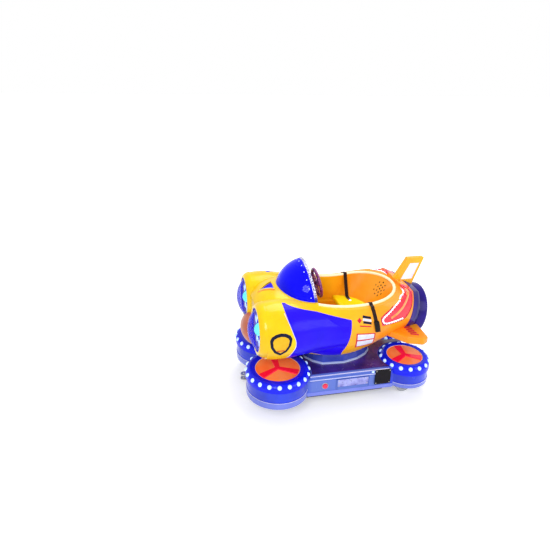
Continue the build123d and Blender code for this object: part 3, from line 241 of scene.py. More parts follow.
# Bogies, chassis and drive unit: welded steel under dark satin paint. Sprayed paint is a little
# uneven, and dust dulls it.
frame_paint = surface("frame_paint", "#2C2E38", "#1C1D24", 90.0, 0.35, 0.25, 3.0, 0.12)[0]
paint(frame_paint, "front_bogie", "rear_bogie", "chassis_frame", "drive_unit")


# Hitches and bolts: zinc-plated steel. The bolts have round heads on a washer: two hold each
# hitch plate, one on each side of its ears, and four hold the drive unit's feet.
def alone(piece):
    """Selects one piece and nothing else."""
    bpy.ops.object.select_all(action="DESELECT")
    piece.select_set(True)
    bpy.context.view_layer.objects.active = piece


def edit(piece, choose=None):
    """Edit mode on one piece, all its faces selected or those that a rule picks by place and normal."""
    alone(piece)
    bpy.ops.object.mode_set(mode="EDIT")
    bpy.ops.mesh.select_mode(type="FACE")
    bpy.ops.mesh.select_all(action="DESELECT" if choose else "SELECT")
    if choose:
        mesh = bmesh.from_edit_mesh(piece.data)
        for face in mesh.faces:
            face.select_set(bool(choose(face.calc_center_median(), face.normal)))
        bmesh.update_edit_mesh(piece.data)


def apply_modifiers(piece):
    """Applies a piece's modifiers and leaves it alone selected."""
    alone(piece)
    for modifier in list(piece.modifiers):
        bpy.ops.object.modifier_apply(modifier=modifier.name)


def settle(piece, name, material, body, angle=35.0):
    """Applies modifiers and place, smooths, paints and fixes a finished piece to its body."""
    apply_modifiers(piece)
    piece.name = name
    bpy.ops.object.transform_apply(location=True, rotation=True, scale=True)
    bpy.ops.object.shade_smooth_by_angle(angle=math.radians(angle))
    piece.data.materials.clear()
    piece.data.materials.append(material)
    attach(piece, body)
    return piece


def set_out(master, places):
    """Copies of a master piece, each with its own mesh, at their places and joined. The master goes."""
    apply_modifiers(master)
    bpy.ops.object.select_all(action="DESELECT")
    for place in places:
        copy = bpy.data.objects.new("copy", master.data.copy())
        copy.data.transform(place)
        if place.determinant() < 0:
            copy.data.flip_normals()
        scene.collection.objects.link(copy)
        copy.select_set(True)
        bpy.context.view_layer.objects.active = copy
    bpy.ops.object.join()
    bpy.data.objects.remove(master)
    return bpy.context.object


def facing(point_mm, outward):
    """Place of a piece that stands on a point, its own z turned outward."""
    turn = Vector(outward).to_track_quat("Z", "Y").to_matrix().to_4x4()
    return Matrix.Translation(Vector(point_mm) / 1000.0) @ turn


def turned(radius, height, vertices, steps, base=0.0):
    """A round piece in millimetres: a disc on its base, its top inset and moved in steps.

    A step is (inset, rise, kind): a wall rises or sinks straight, a slope joins the two levels."""
    piece = begin(
        bpy.ops.mesh.primitive_cylinder_add, vertices=vertices, radius=radius / 1000,
        depth=height / 1000, location=(0, 0, (base + height / 2) / 1000),
    )
    edit(piece, lambda centre, normal: normal.z > 0.9)
    for inset, rise, kind in steps:
        bpy.ops.mesh.inset(thickness=inset / 1000)
        if kind == "wall":
            bpy.ops.mesh.extrude_region_move(TRANSFORM_OT_translate={"value": (0, 0, rise / 1000)})
        else:
            bpy.ops.transform.translate(value=(0, 0, rise / 1000))
    bpy.ops.object.mode_set(mode="OBJECT")
    return piece


bolt_head_r = 7.15
bolt_height = 6.0
washer_r = 12.0
washer_height = 1.6
zinc_plate = surface("zinc_plate", "#C8C9C6", "#A9A9A2", 25.0, 0.3, 0.2, 1.0, 0.03, {"Metallic": 1.0})[0]
paint(zinc_plate, "front_hitch", "rear_hitch")

bolt = turned(
    washer_r, washer_height, 36, [(washer_r - bolt_head_r, bolt_height, "wall"), (1.8, 0.8, "slope")]
)
hitch_face_x = 670.0
bolt_places = [
    facing((end * hitch_face_x, side * 42.0, 120.0), (end, 0, 0)) for end in (1, -1) for side in (1, -1)
]
bolt_places += [
    facing((end * 75.0, side * 128.0, 149.0), (0, 0, 1)) for end in (1, -1) for side in (1, -1)
]
settle(set_out(bolt, bolt_places), "frame_bolts", zinc_plate, "car")


# Base moulding, its pad rims and side sections: glass-fibre under royal blue gelcoat, moulded in one
# piece with the skirts. The gelcoat is glossy with a faint orange peel, and paler between the skirts.
def gelcoat(name, light, deep, rough=0.16, settings=None):
    """A glossy moulded gelcoat in two close shades, under a clear coat."""
    gloss = {"Specular IOR Level": 0.3, "Coat Weight": 0.3, "Coat Roughness": 0.05}
    return surface(name, light, deep, 240.0, rough, 0.12, 4.0, 0.05, {**gloss, **(settings or {})})


def blend(material, value, span, low, high, curve="LINEAR"):
    """A colour socket that goes from low to high, hex colours or sockets, as a value crosses a span."""
    mask = add_node(
        material, "ShaderNodeMapRange",
        {"interpolation_type": curve, "From Min": span[0], "From Max": span[1]}, {"Value": value},
    )
    settings, links = {"data_type": "RGBA"}, {0: mask.outputs["Result"]}
    for index, shade in ((6, low), (7, high)):
        if isinstance(shade, str):
            settings[index] = linear(shade)
        else:
            links[index] = shade
    return add_node(material, "ShaderNodeMix", settings, links).outputs[2]


royal_gelcoat = gelcoat(
    "royal_gelcoat", "#2A08FF", "#2004E6", 0.3,
    settings={"Specular IOR Level": 0.1, "Coat Weight": 0.1},
)[0]
paint(royal_gelcoat, "side_panel_left", "side_panel_right", "hood_intake")
rim_gelcoat = gelcoat(
    "rim_gelcoat", "#1122FF", "#0C1CEE",
    settings={"Specular IOR Level": 0.15, "Coat Weight": 0.15},
)[0]
paint(rim_gelcoat, "front_pad_rims", "rear_pad_rims")

base_gelcoat, shader, where, shades, _ = gelcoat("base_gelcoat", "#2346F0", "#1A34C8")
spot = add_node(base_gelcoat, "ShaderNodeSeparateXYZ", None, {"Vector": where})
from_middle = add_node(base_gelcoat, "ShaderNodeMath", {"operation": "ABSOLUTE"}, {0: spot.outputs["X"]})
bay_fade_x = (0.345, 0.265)
bay_shade = blend(base_gelcoat, from_middle.outputs[0], bay_fade_x, shades.outputs[2], "#5F79D2")
base_gelcoat.node_tree.links.new(bay_shade, shader.inputs["Base Color"])
paint(base_gelcoat, "base_moulding")
steel_blue_gelcoat = gelcoat("steel_blue_gelcoat", "#5A76CC", "#4660B4")[0]
paint(steel_blue_gelcoat, "display_panels")
# The skirt trim's pale lilac is partly its own colour and partly a painted highlight along the foot of the
# skirts
lilac_gelcoat = gelcoat("lilac_gelcoat", "#7E8CEC", "#6C7ADC")[0]
paint(lilac_gelcoat, "skirt_trim")

# Seam lines on the skirts: a thin white bead of jointing compound, run along the moulding where it
# meets the lilac trim below and the pad rim above
white_bead = surface("white_bead", "#EDEBFA", "#D6D4F2", 30.0, 0.3, 0.2, 2.0, 0.05)[0]
bead_r = 1.5
front_pad = (505.0, 245.0)
rear_pad = (-513.0, 224.0)
# Columns: pad centre x and y, radius, height, where the arc starts and ends in degrees
bead_arcs = (
    (*front_pad, 229.0, 191.0, -70.0, 153.0),
    (*front_pad, 226.0, 275.5, -70.0, 153.0),
    (*rear_pad, 187.0, 168.0, 42.0, 248.0),
    (*rear_pad, 184.0, 243.5, 42.0, 248.0),
)


def tube(name, runs, thickness_mm, closed=False):
    """Round beads along runs of points in millimetres, as a mesh."""
    curve = bpy.data.curves.new(name, "CURVE")
    curve.dimensions = "3D"
    curve.bevel_depth = thickness_mm / 1000
    curve.bevel_resolution = 2
    curve.use_fill_caps = not closed
    for run in runs:
        line = curve.splines.new("POLY")
        line.points.add(len(run) - 1)
        line.use_cyclic_u = closed
        for point, place in zip(line.points, run):
            point.co = (*(Vector(place) / 1000.0), 1.0)
    piece = bpy.data.objects.new(name, curve)
    scene.collection.objects.link(piece)
    alone(piece)
    bpy.ops.object.convert(target="MESH")
    return bpy.context.object


runs = []
for x, y, radius, z, start, end in bead_arcs:
    for side in (1, -1):
        turns = [math.radians(start + (end - start) * step / 72) for step in range(73)]
        runs.append([(x + radius * math.cos(t), side * (y + radius * math.sin(t)), z) for t in turns])
settle(tube("skirt_beads", runs, bead_r), "skirt_beads", white_bead, "car")

# Ledge lines: two pale lines along each side of the base, one above the other, on the two beads of the
# moulding: painted highlights where the beads catch the light
strip_runs = []
for side in (1, -1):
    for z in (262.0, 296.0):
        for start, end in ((-330.0, -222.0), (-222.0, 286.0)):
            strip_runs.append([(start, side * 352.6, z), (end, side * 352.6, z)])
settle(tube("ledge_highlights", strip_runs, 2.6), "ledge_highlights", white_bead, "car")

# Deck: a dark violet tread sheet with a wet gloss, cut to the outline of the base and glued to
# its top
deck_sheet = surface(
    "deck_sheet", "#4A2C92", "#301A68", 160.0, 0.10, 0.2, 3.0, 0.1,
    {"Coat Weight": 0.5},
)[0]
paint(deck_sheet, "deck_plate")


# Pads: lit orange discs of acrylic in the blue rims, with a red three-armed spoke of gelcoated
# glass-fibre on each
def lit(hex_colour, strength):
    """Shader settings of a piece that glows."""
    return {"Emission Color": linear(hex_colour), "Emission Strength": strength}


pad_acrylic = surface(
    "pad_acrylic", "#FF9452", "#FF7230", 150.0, 0.12, 0.1, 5.0, 0.04,
    lit("#FF8448", 0.12),
)[0]
paint(pad_acrylic, "pad_discs")
# The red spokes glow faintly: painted light, as they are no lamps
red_gelcoat = gelcoat("red_gelcoat", "#FF1A44", "#F5103A", settings=lit("#FF1038", 0.12))[0]
paint(red_gelcoat, "pad_spokes")


# Pad lamps: domed lenses of pale blue polycarbonate, lit from behind, one pressed into each boss of
# the pad rims
def cut_below(piece, height_mm):
    """Takes away what lies below a height and closes the cut."""
    edit(piece)
    bpy.ops.mesh.bisect(
        plane_co=(0, 0, height_mm / 1000), plane_no=(0, 0, 1), use_fill=True, clear_inner=True
    )
    bpy.ops.object.mode_set(mode="OBJECT")


lens_base_r = 15.4
lens_height = 11.0
lens_ball_r = (lens_base_r**2 + lens_height**2) / (2 * lens_height)
# Columns: centre x, centre y, disc radius, rim radius, wall top z, crest z, count
pad_table = (
    (*front_pad, 166.3, 236.0, 303.0, 338.0, 20),
    (*rear_pad, 138.3, 192.0, 271.0, 319.0, 16),
)
rim_crest_width = 26.0
lamp_angle = math.radians(33.0)

lamp_lens = surface(
    "lamp_lens", "#D6ECFF", "#A8CBFF", 14.0, 0.08, 0.05, 2.0, 0.1,
    lit("#BBDCFF", 0.45),
)[0]

lens = begin(bpy.ops.mesh.primitive_uv_sphere_add, segments=24, ring_count=16, radius=lens_ball_r / 1000)
cut_below(lens, lens_ball_r - lens_height)
edit(lens)
bpy.ops.transform.translate(value=(0, 0, (lens_height - lens_ball_r) / 1000))
bpy.ops.object.mode_set(mode="OBJECT")
places = []
for x, y, disc_r, rim_r, wall_z, crest_z, count in pad_table:
    run = rim_r - disc_r - rim_crest_width
    slope_r = (run**2 + (crest_z - wall_z) ** 2) / (2 * run)
    out, up = math.cos(lamp_angle), math.sin(lamp_angle)
    for side in (1, -1):
        for step in range(count):
            turn = 2 * math.pi * (step + 0.5) / count
            outward = (out * math.cos(turn), out * math.sin(turn), up)
            radius = rim_r - slope_r + slope_r * out
            foot = (
                x + radius * math.cos(turn),
                side * (y + radius * math.sin(turn)),
                wall_z + slope_r * up,
            )
            places.append(facing(foot, (outward[0], side * outward[1], outward[2])))
settle(set_out(lens, places), "pad_lamp_lenses", lamp_lens, "car")

# Disc edges: a thin pale peach ring round each disc, along the joint between the disc and its rim:
# a painted highlight on the disc's edge
edge_runs = []
for x, y, disc_r, z in ((*front_pad, 164.5, 328.6), (*rear_pad, 136.5, 309.6)):
    for side in (1, -1):
        turns = [2 * math.pi * step / 96 for step in range(96)]
        edge_runs.append([(x + disc_r * math.cos(t), side * y + disc_r * math.sin(t), z) for t in turns])
disc_edge_highlight = surface("disc_edge_highlight", "#FFE6C4", "#F5D0A8", 20.0, 0.35, 0.2, 2.0, 0.08)[0]
settle(tube("disc_edges", edge_runs, 2.8, closed=True), "disc_edges", disc_edge_highlight, "car")


# Side fittings: a red push button in a bezel, a blank silver display plate and a blank black sign,
# both held by small screws, and a small square marker lamp on the ledge
def block(sides_mm, edge_mm, segments):
    """A cuboid about its middle with rounded edges, in millimetres."""
    piece = begin(bpy.ops.mesh.primitive_cube_add, size=1.0)
    edit(piece)
    bpy.ops.transform.resize(value=[side_mm / 1000 for side_mm in sides_mm])
    bpy.ops.mesh.bevel(offset=edge_mm / 1000, segments=segments, affect="EDGES")
    bpy.ops.object.mode_set(mode="OBJECT")
    return piece


button_plastic = gelcoat("button_plastic", "#F5305A", "#DC1F47", 0.25)[0]
paint(button_plastic, "push_buttons")
plate_metal = surface(
    "plate_metal", "#A9AEEA", "#6C67B8", 55.0, 0.25, 0.15, 1.5, 0.04,
    {"Metallic": 0.5},
)[0]
paint(plate_metal, "display_plates")
sign_acrylic = surface(
    "sign_acrylic", "#120C18", "#09060E", 80.0, 0.12, 0.08, 5.0, 0.03,
    {"Specular IOR Level": 0.15},
)[0]
paint(sign_acrylic, "sign_plates")

bezel = begin(
    bpy.ops.mesh.primitive_torus_add,
    major_radius=0.0225, minor_radius=0.003, major_segments=48, minor_segments=12
)
cut_below(bezel, 0.0)
places = [facing((166.0, side * 345.0, 201.0), (0, side, 0)) for side in (1, -1)]
settle(set_out(bezel, places), "button_bezels", zinc_plate, "car")

screw_r = 4.2
screw = turned(screw_r, 2.0, 24, [(0.9, 0.6, "slope"), (1.4, -1.4, "wall")])
places = []
for side in (1, -1):
    for x in (-230.0, -337.0):
        for z in (180.0, 282.0):
            places.append(facing((x, side * 357.0, z), (0, side, 0)))
    for x in (-157.0, 62.0):
        for z in (195.0, 237.0):
            places.append(facing((x, side * 356.0, z), (0, side, 0)))
settle(set_out(screw, places), "plate_screws", zinc_plate, "car")

marker = block((20.0, 18.0, 6.0), 2.0, 3)
places = [facing((-203.0, side * 349.0, 278.0), (0, side, 0)) for side in (1, -1)]
settle(set_out(marker, places), "marker_lamps", lamp_lens, "car")

# Plinth: a glossy blue moulding of gelcoated glass-fibre between deck and body, with a pale lip
# at its foot
plinth_gelcoat, shader, where, shades, _ = gelcoat("plinth_gelcoat", "#4256C8", "#2C3AA0")
height = add_node(plinth_gelcoat, "ShaderNodeSeparateXYZ", None, {"Vector": where})
lip_top_z = (0.313, 0.318)
lip_shade = blend(plinth_gelcoat, height.outputs["Z"], lip_top_z, "#C3D3F4", shades.outputs[2])
plinth_gelcoat.node_tree.links.new(lip_shade, shader.inputs["Base Color"])
paint(plinth_gelcoat, "plinth")

# Body: glass-fibre under a gelcoat that fades from golden yellow at the nose to orange at the tail,
# sprayed into the mould in two colours
body_gelcoat, shader, where, shades, _ = gelcoat(
    "body_gelcoat", "#FFD90C", "#F6C208",
    settings={"Specular IOR Level": 0.16, "Coat Weight": 0.18},
)
tail_shades = add_node(
    body_gelcoat, "ShaderNodeMix", {"data_type": "RGBA", 6: linear("#FF9514"), 7: linear("#FFA826")},
    {0: body_gelcoat.node_tree.nodes["Map Range"].outputs["Result"]},
)
along = add_node(body_gelcoat, "ShaderNodeSeparateXYZ", None, {"Vector": where})
body_fade_x = (0.34, -0.30)
body_shade = blend(
    body_gelcoat, along.outputs["X"], body_fade_x, shades.outputs[2], tail_shades.outputs[2], "SMOOTHSTEP"
)
body_gelcoat.node_tree.links.new(body_shade, shader.inputs["Base Color"])
paint(body_gelcoat, "nose_cowl", "cockpit_body", "wing_left", "wing_right")

# Chin: a panel under the nose, painted terracotta, which is a painted shade with a pink reflection on
# the yellow underside of the nose. A fine metal glitter is mixed into its gelcoat
chin_shade_glitter, shader, where, _, _ = gelcoat("chin_shade_glitter", "#CF6E48", "#B5573A", 0.3)
flakes = add_node(chin_shade_glitter, "ShaderNodeTexVoronoi", {"Scale": 400.0}, {"Vector": where})
flake_gloss = add_node(
    chin_shade_glitter, "ShaderNodeMapRange", {"From Min": 0.75, "From Max": 0.95, "To Max": 0.9},
    {"Value": flakes.outputs["Color"]},
)
chin_shade_glitter.node_tree.links.new(flake_gloss.outputs["Result"], shader.inputs["Metallic"])
paint(chin_shade_glitter, "chin_panel")


# Seam lines: a thin pale line down each side, where the nose meets the body and its panels, a painted
# highlight along that edge. Along the left lip of the hood intake lie a white and an orange line: a
# painted highlight on the lip's crest and the painted shadow that the lip casts
def smooth_run(points, samples=10):
    """A smooth run through points in millimetres."""
    run = []
    for index in range(len(points) - 1):
        before = Vector(points[max(index - 1, 0)])
        start, end = Vector(points[index]), Vector(points[index + 1])
        after = Vector(points[min(index + 2, len(points) - 1)])
        for step in range(samples):
            t = step / samples
            run.append(0.5 * (
                2 * start + (end - before) * t + (2 * before - 5 * start + 4 * end - after) * t**2
                + (3 * start - before - 3 * end + after) * t**3
            ))
    return run + [Vector(points[-1])]


def laid_on(name, run, outward, lift_mm, reach_mm=150.0):
    """A run set down on a CAD node against a direction, then lifted off it a little."""
    laid = []
    for place in run:
        hit, spot, normal, face = nodes[name].ray_cast(
            (place + outward * reach_mm) / 1000.0, -outward, distance=reach_mm / 400.0
        )
        if not hit:
            hit, spot, normal, face = nodes[name].closest_point_on_mesh(place / 1000.0)
            normal = outward
        laid.append(tuple((spot + normal * lift_mm / 1000.0) * 1000.0))
    return laid


seam = [
    (497.0, 400.0, 838.0), (471.0, 400.0, 779.0), (447.0, 400.0, 715.0), (430.0, 400.0, 665.0),
    (430.0, 400.0, 618.0), (447.0, 400.0, 577.0), (472.0, 400.0, 520.0),
]
run = laid_on("nose_cowl", [p + Vector((1.5, 0, 0)) for p in smooth_run(seam)], Vector((0, 1, 0)), 0.4)
runs = [run, [(x, -y, z) for x, y, z in run]]
settle(tube("seam_highlights", runs, 2.2), "seam_highlights", white_bead, "car")
# White line: a painted highlight on the intake lip's crest; orange line: the painted shadow the lip casts
for name, edge_points, thickness, material in (
    ("intake_highlights", [(600.0, 3.0, 850.0), (552.0, 34.0, 850.0), (503.0, 64.0, 850.0)], 1.8, white_bead),
    ("intake_lip_shadows", [(612.0, 6.0, 850.0), (560.0, 40.0, 850.0), (503.0, 76.0, 850.0)], 4.0, pad_acrylic),
):
    run = laid_on("nose_cowl", smooth_run(edge_points), Vector((0, 0, 1)), 0.2)
    settle(tube(name, [run], thickness), name, material, "car")


# Badge, number plates and stripes: printed vinyl stickers laid on the body, all left blank. Each is
# cut from a sheet along its edges and smoothed down onto the surface below it.
def modify(piece, kind, **settings):
    """Gives a piece a modifier with its settings."""
    modifier = piece.modifiers.new(kind.lower(), kind)
    for key, value in settings.items():
        setattr(modifier, key, value)


def sticker(name, outline, target, material, lift_mm=0.6, mirrored=True):
    """A sheet cut to a convex outline, given as (x, z) in millimetres, laid on a node from its side."""
    area = sum(x1 * z2 - x2 * z1 for (x1, z1), (x2, z2) in zip(outline, outline[1:] + outline[:1]))
    outline = outline if area > 0 else outline[::-1]
    xs = [x for x, z in outline]
    zs = [z for x, z in outline]
    middle = Vector(((min(xs) + max(xs)) / 2000, 0.6, (min(zs) + max(zs)) / 2000))
    sheet = begin(
        bpy.ops.mesh.primitive_grid_add,
        x_subdivisions=28, y_subdivisions=28, size=1.0, location=middle, rotation=(math.pi / 2, 0, math.pi)
    )
    sheet.scale = ((max(xs) - min(xs)) / 1000, (max(zs) - min(zs)) / 1000, 1.0)
    bpy.ops.object.transform_apply(location=True, rotation=True, scale=True)
    edit(sheet)
    for (x1, z1), (x2, z2) in zip(outline, outline[1:] + outline[:1]):
        bpy.ops.mesh.select_all(action="SELECT")
        outward = Vector((z2 - z1, 0.0, x1 - x2)).normalized()
        bpy.ops.mesh.bisect(plane_co=(x1 / 1000, 0.6, z1 / 1000), plane_no=outward, clear_outer=True)
    bpy.ops.object.mode_set(mode="OBJECT")
    modify(
        sheet, "SHRINKWRAP", wrap_method="PROJECT", use_project_y=True, use_negative_direction=True,
        use_positive_direction=False, target=nodes[target], wrap_mode="ABOVE_SURFACE",
        offset=lift_mm / 1000,
    )
    modify(sheet, "SOLIDIFY", thickness=0.0005, offset=-1.0)
    places = [Matrix.Identity(4)] + ([Matrix.Scale(-1, 4, (0, 1, 0))] if mirrored else [])
    return settle(set_out(sheet, places), name, material, "car")


def vinyl(name, light, deep):
    """Printed vinyl film: even colour, satin gloss, a very fine grain."""
    return surface(name, light, deep, 40.0, 0.4, 0.12, 1.5, 0.02, {"Specular IOR Level": 0.15})[0]


navy_vinyl = vinyl("navy_vinyl", "#101736", "#0B1028")
gold_vinyl = vinyl("gold_vinyl", "#F2BC2C", "#EAB01E")
red_vinyl = vinyl("red_vinyl", "#E0283C", "#C81E34")
white_vinyl = vinyl("white_vinyl", "#F2F3FA", "#DCE0F2")

badge = [
    (614.0, 692.0), (602.0, 716.0), (572.0, 732.0), (537.0, 738.0), (502.0, 732.0), (472.0, 716.0),
    (458.0, 692.0), (466.0, 640.0), (494.0, 592.0), (537.0, 562.0), (580.0, 592.0), (608.0, 640.0),
]
badge_middle = (537.0, 656.0)


def shrunk(outline, middle, factor):
    """An outline drawn in towards a point."""
    return [
        (middle[0] + (x - middle[0]) * factor, middle[1] + (z - middle[1]) * factor) for x, z in outline
    ]


sticker("badge_border", badge, "nose_cowl", navy_vinyl)
sticker("badge_field", shrunk(badge, badge_middle, 0.73), "nose_cowl", gold_vinyl, 1.2)
badge_bar = [(566.0, 612.0), (512.0, 612.0), (516.0, 604.0), (562.0, 604.0)]
sticker("badge_bar", badge_bar, "nose_cowl", red_vinyl, 1.8)

plate = [(-50.0, 612.0), (-62.0, 470.0), (-214.0, 474.0), (-200.0, 600.0)]
sticker("plate_border", plate, "cockpit_body", red_vinyl)
for name, rows in (
    ("plate_upper", [(-60.0, 602.0), (-65.0, 551.0), (-197.0, 548.0), (-191.0, 592.0)]),
    ("plate_lower", [(-66.0, 537.0), (-72.0, 482.0), (-203.0, 486.0), (-198.0, 536.0)]),
):
    sticker(name, rows, "cockpit_body", white_vinyl, 1.2)

for index, material in enumerate((navy_vinyl, white_vinyl, navy_vinyl)):
    top, shift = 752.0 - 21.0 * index, -3.0 * index
    stripe = [
        (-88.0 + shift, top), (-87.0 + shift, top - 19.0), (-153.0 + shift, top - 33.0),
        (-150.0 + shift, top - 15.0),
    ]
    sticker(f"stripe_{index}", stripe, "cockpit_body", material)
line = [(-68.0, 678.0), (-69.0, 668.0), (-158.0, 656.0), (-156.0, 665.0)]
sticker("stripe_line", line, "cockpit_body", red_vinyl)
star = [(-46.0, 716.0), (-64.0, 736.0), (-82.0, 716.0), (-66.0, 692.0)]
sticker("side_mark", star, "cockpit_body", red_vinyl)

# Wing marks: five slanting red bars of vinyl film on top of each wing, each one rounded a little at
# its edges
mark = block((62.0, 21.0, 0.8), 0.3, 2)
mark_count = 5
slant = Matrix.Rotation(math.radians(-24.0), 4, "Z")
places = []
for step in range(mark_count):
    for side in (1, -1):
        foot = Matrix.Translation(Vector((-502.0 - 2.0 * step, 216.0 + 31.0 * step, 560.3)) / 1000.0) @ slant
        places.append(Matrix.Scale(side, 4, (0, 1, 0)) @ foot)
settle(set_out(mark, places), "wing_marks", red_vinyl, "car")


# Lamps: a dark blue face with eight petals of paired light bars, a mint dome at its middle, and a
# clear bulging lens of polycarbonate over both
lamp_centre = (652.0, 260.0, 672.0)
petal_count = 8
bar_length = 46.0
bar_width = 11.0
bar_height = 7.0
bar_middle_r = 96.0
bar_apart = 19.0
ring_r = 134.0

# The blue face glows faintly: painted light that lifts it in the shade of the lens
lamp_face_plastic = surface(
    "lamp_face_plastic", "#1A18D8", "#100EA0", 70.0, 0.12, 0.15, 3.0, 0.05,
    {"Specular IOR Level": 0.2, **lit("#1010E0", 0.15)},
)[0]
paint(lamp_face_plastic, "lamp_face_left", "lamp_face_right")
mint_acrylic = surface(
    "mint_acrylic", "#A8FFDC", "#7CF0C0", 40.0, 0.1, 0.1, 3.0, 0.04,
    lit("#62F0B4", 1.6),
)[0]
paint(mint_acrylic, "lamp_dome_left", "lamp_dome_right")
led_white = surface("led_white", "#F4FBFF", "#CFE4FF", 12.0, 0.15, 0.1, 2.0, 0.05, lit("#DDEBFF", 0.7))[0]
bar_white = surface("bar_white", "#E8F6FF", "#BFE0FF", 12.0, 0.15, 0.1, 2.0, 0.05, lit("#C8EAFF", 1.8))[0]

# The lens bends little light, so it is drawn as a thin blue-tinted skin that shows more at its edge
clear_polycarbonate, shader = new_material("clear_polycarbonate", {
    "Base Color": linear("#2A2CF0"), "Roughness": 0.05, "Specular IOR Level": 0.1,
})
where = add_node(clear_polycarbonate, "ShaderNodeTexCoord").outputs["Object"]
haze = add_node(clear_polycarbonate, "ShaderNodeTexNoise", {"Scale": 22.0, "Detail": 3.0}, {"Vector": where})
edge = add_node(clear_polycarbonate, "ShaderNodeLayerWeight", {"Blend": 0.35})
edge_alpha = add_node(
    clear_polycarbonate, "ShaderNodeMapRange", {"To Min": 0.14, "To Max": 0.7},
    {"Value": edge.outputs["Facing"]},
)
alpha = add_node(
    clear_polycarbonate, "ShaderNodeMath", {"operation": "MULTIPLY_ADD", 1: 0.04},
    {0: haze.outputs["Fac"], 2: edge_alpha.outputs["Result"]},
)
clear_polycarbonate.node_tree.links.new(alpha.outputs[0], shader.inputs["Alpha"])
paint(clear_polycarbonate, "lamp_lens_left", "lamp_lens_right")

bar = block((bar_length, bar_width, bar_height), 3.0, 4)
places = []
for side in (1, -1):
    for step in range(petal_count):
        spin = Matrix.Rotation(2 * math.pi * (step + 0.5) / petal_count, 4, "Z")
        for shift in (0.5, -0.5):
            lean = Matrix.Rotation(shift * -0.28, 4, "Z")
            out = Matrix.Translation(Vector((bar_middle_r, bar_apart * shift, 4.0)) / 1000.0)
            centre = facing((lamp_centre[0], side * lamp_centre[1], lamp_centre[2]), (1, 0, 0))
            places.append(centre @ spin @ out @ lean)
settle(set_out(bar, places), "lamp_petals", bar_white, "car")

rings = []
for side in (1, -1):
    for radius, x in ((ring_r, 651.0), (60.0, 656.5)):
        turns = [2 * math.pi * step / 96 for step in range(96)]
        rings.append([
            (x, side * lamp_centre[1] + radius * math.cos(t), lamp_centre[2] + radius * math.sin(t))
            for t in turns
        ])
chrome_plate = surface(
    "chrome_plate", "#DDE2F4", "#B9C1E2", 30.0, 0.06, 0.08, 1.0, 0.02,
    {"Metallic": 1.0},
)[0]
settle(tube("lamp_rings", rings, 2.2, closed=True), "lamp_rings", chrome_plate, "car")

# Lamp mouth shades: a thin dark blue ring in each barrel's mouth round the lens, a painted shade with
# blue reflections on the inner face of the barrel's lip
mouth_shade_r = 152.5
mouth_shade_depth = 10.0
mouth_shade = begin(
    bpy.ops.mesh.primitive_cylinder_add, vertices=96, radius=mouth_shade_r / 1000,
    depth=mouth_shade_depth / 1000, end_fill_type="NOTHING",
)
modify(mouth_shade, "SOLIDIFY", thickness=0.0016, offset=-1.0)
modify(mouth_shade, "BEVEL", width=0.0005, segments=2)
places = [facing((669.5, side * lamp_centre[1], lamp_centre[2]), (1, 0, 0)) for side in (1, -1)]
settle(set_out(mouth_shade, places), "lamp_mouth_shades", lamp_face_plastic, "car")

# Windscreen: a blown acrylic dome, deep blue all through, with small lights set near its rear edge
# and a clear strip full of glitter along it
# The dome's faint blue glow is painted light; only the small lights on it are lamps
dome_acrylic = surface(
    "dome_acrylic", "#0400FA", "#0200E0", 300.0, 0.06, 0.06, 9.0, 0.04,
    {"Specular IOR Level": 0.12, **lit("#0000FF", 0.15)},
)[0]
paint(dome_acrylic, "windscreen")

glitter_strip, shader, where, shades, _ = surface(
    "glitter_strip", "#8E86C0", "#4A4378", 12.0, 0.15, 0.2, 2.0, 0.1,
)
flakes = add_node(glitter_strip, "ShaderNodeTexVoronoi", {"Scale": 260.0}, {"Vector": where})
split = add_node(glitter_strip, "ShaderNodeSeparateColor", None, {"Color": flakes.outputs["Color"]})
strip_flakes = (0.45, 0.7)
strip_foot_z = (0.87, 0.90)
flake_shade = blend(glitter_strip, split.outputs["Red"], strip_flakes, shades.outputs[2], "#F6F4FF")
height = add_node(glitter_strip, "ShaderNodeSeparateXYZ", None, {"Vector": where})
strip_shade = blend(glitter_strip, height.outputs["Z"], strip_foot_z, "#15129A", flake_shade)
glitter_strip.node_tree.links.new(strip_shade, shader.inputs["Base Color"])
paint(glitter_strip, "screen_arch")

# The small lights stand in a row on the dome, 22 mm ahead of its edge
dome_centre = Vector((213.7, 0.0, 807.0))
dome_r = 270.0
edge_low = Vector((250.0, 0.0, 838.0))
edge_high = Vector((287.0, 0.0, 1075.0))
edge_up = (edge_high - edge_low).normalized()
edge_ahead = Vector((edge_up.z, 0.0, -edge_up.x))
row_distance = (edge_low - dome_centre).dot(edge_ahead) + 22.0
row_centre = dome_centre + edge_ahead * row_distance
row_r = math.sqrt(dome_r**2 - row_distance**2)
light_count = 11
spark = begin(bpy.ops.mesh.primitive_uv_sphere_add, segments=12, ring_count=8, radius=0.0032)
cut_below(spark, -1.0)
places = []
for step in range(light_count):
    turn = math.radians(18.0 + 144.0 * step / (light_count - 1))
    spot = row_centre + Vector((0, 1, 0)) * row_r * math.cos(turn) + edge_up * row_r * math.sin(turn)
    places.append(facing(spot, spot - dome_centre))
settle(set_out(spark, places), "dome_lights", led_white, "car")

# Rim light: a milky silicone tube round the cockpit, lit from inside and laid on the rim of
# the body
milky_silicone = surface(
    "milky_silicone", "#FFF1CC", "#FFE8B8", 40.0, 0.35, 0.15, 2.0, 0.05,
    lit("#FFEFC8", 0.12),
)[0]
paint(milky_silicone, "rim_light")

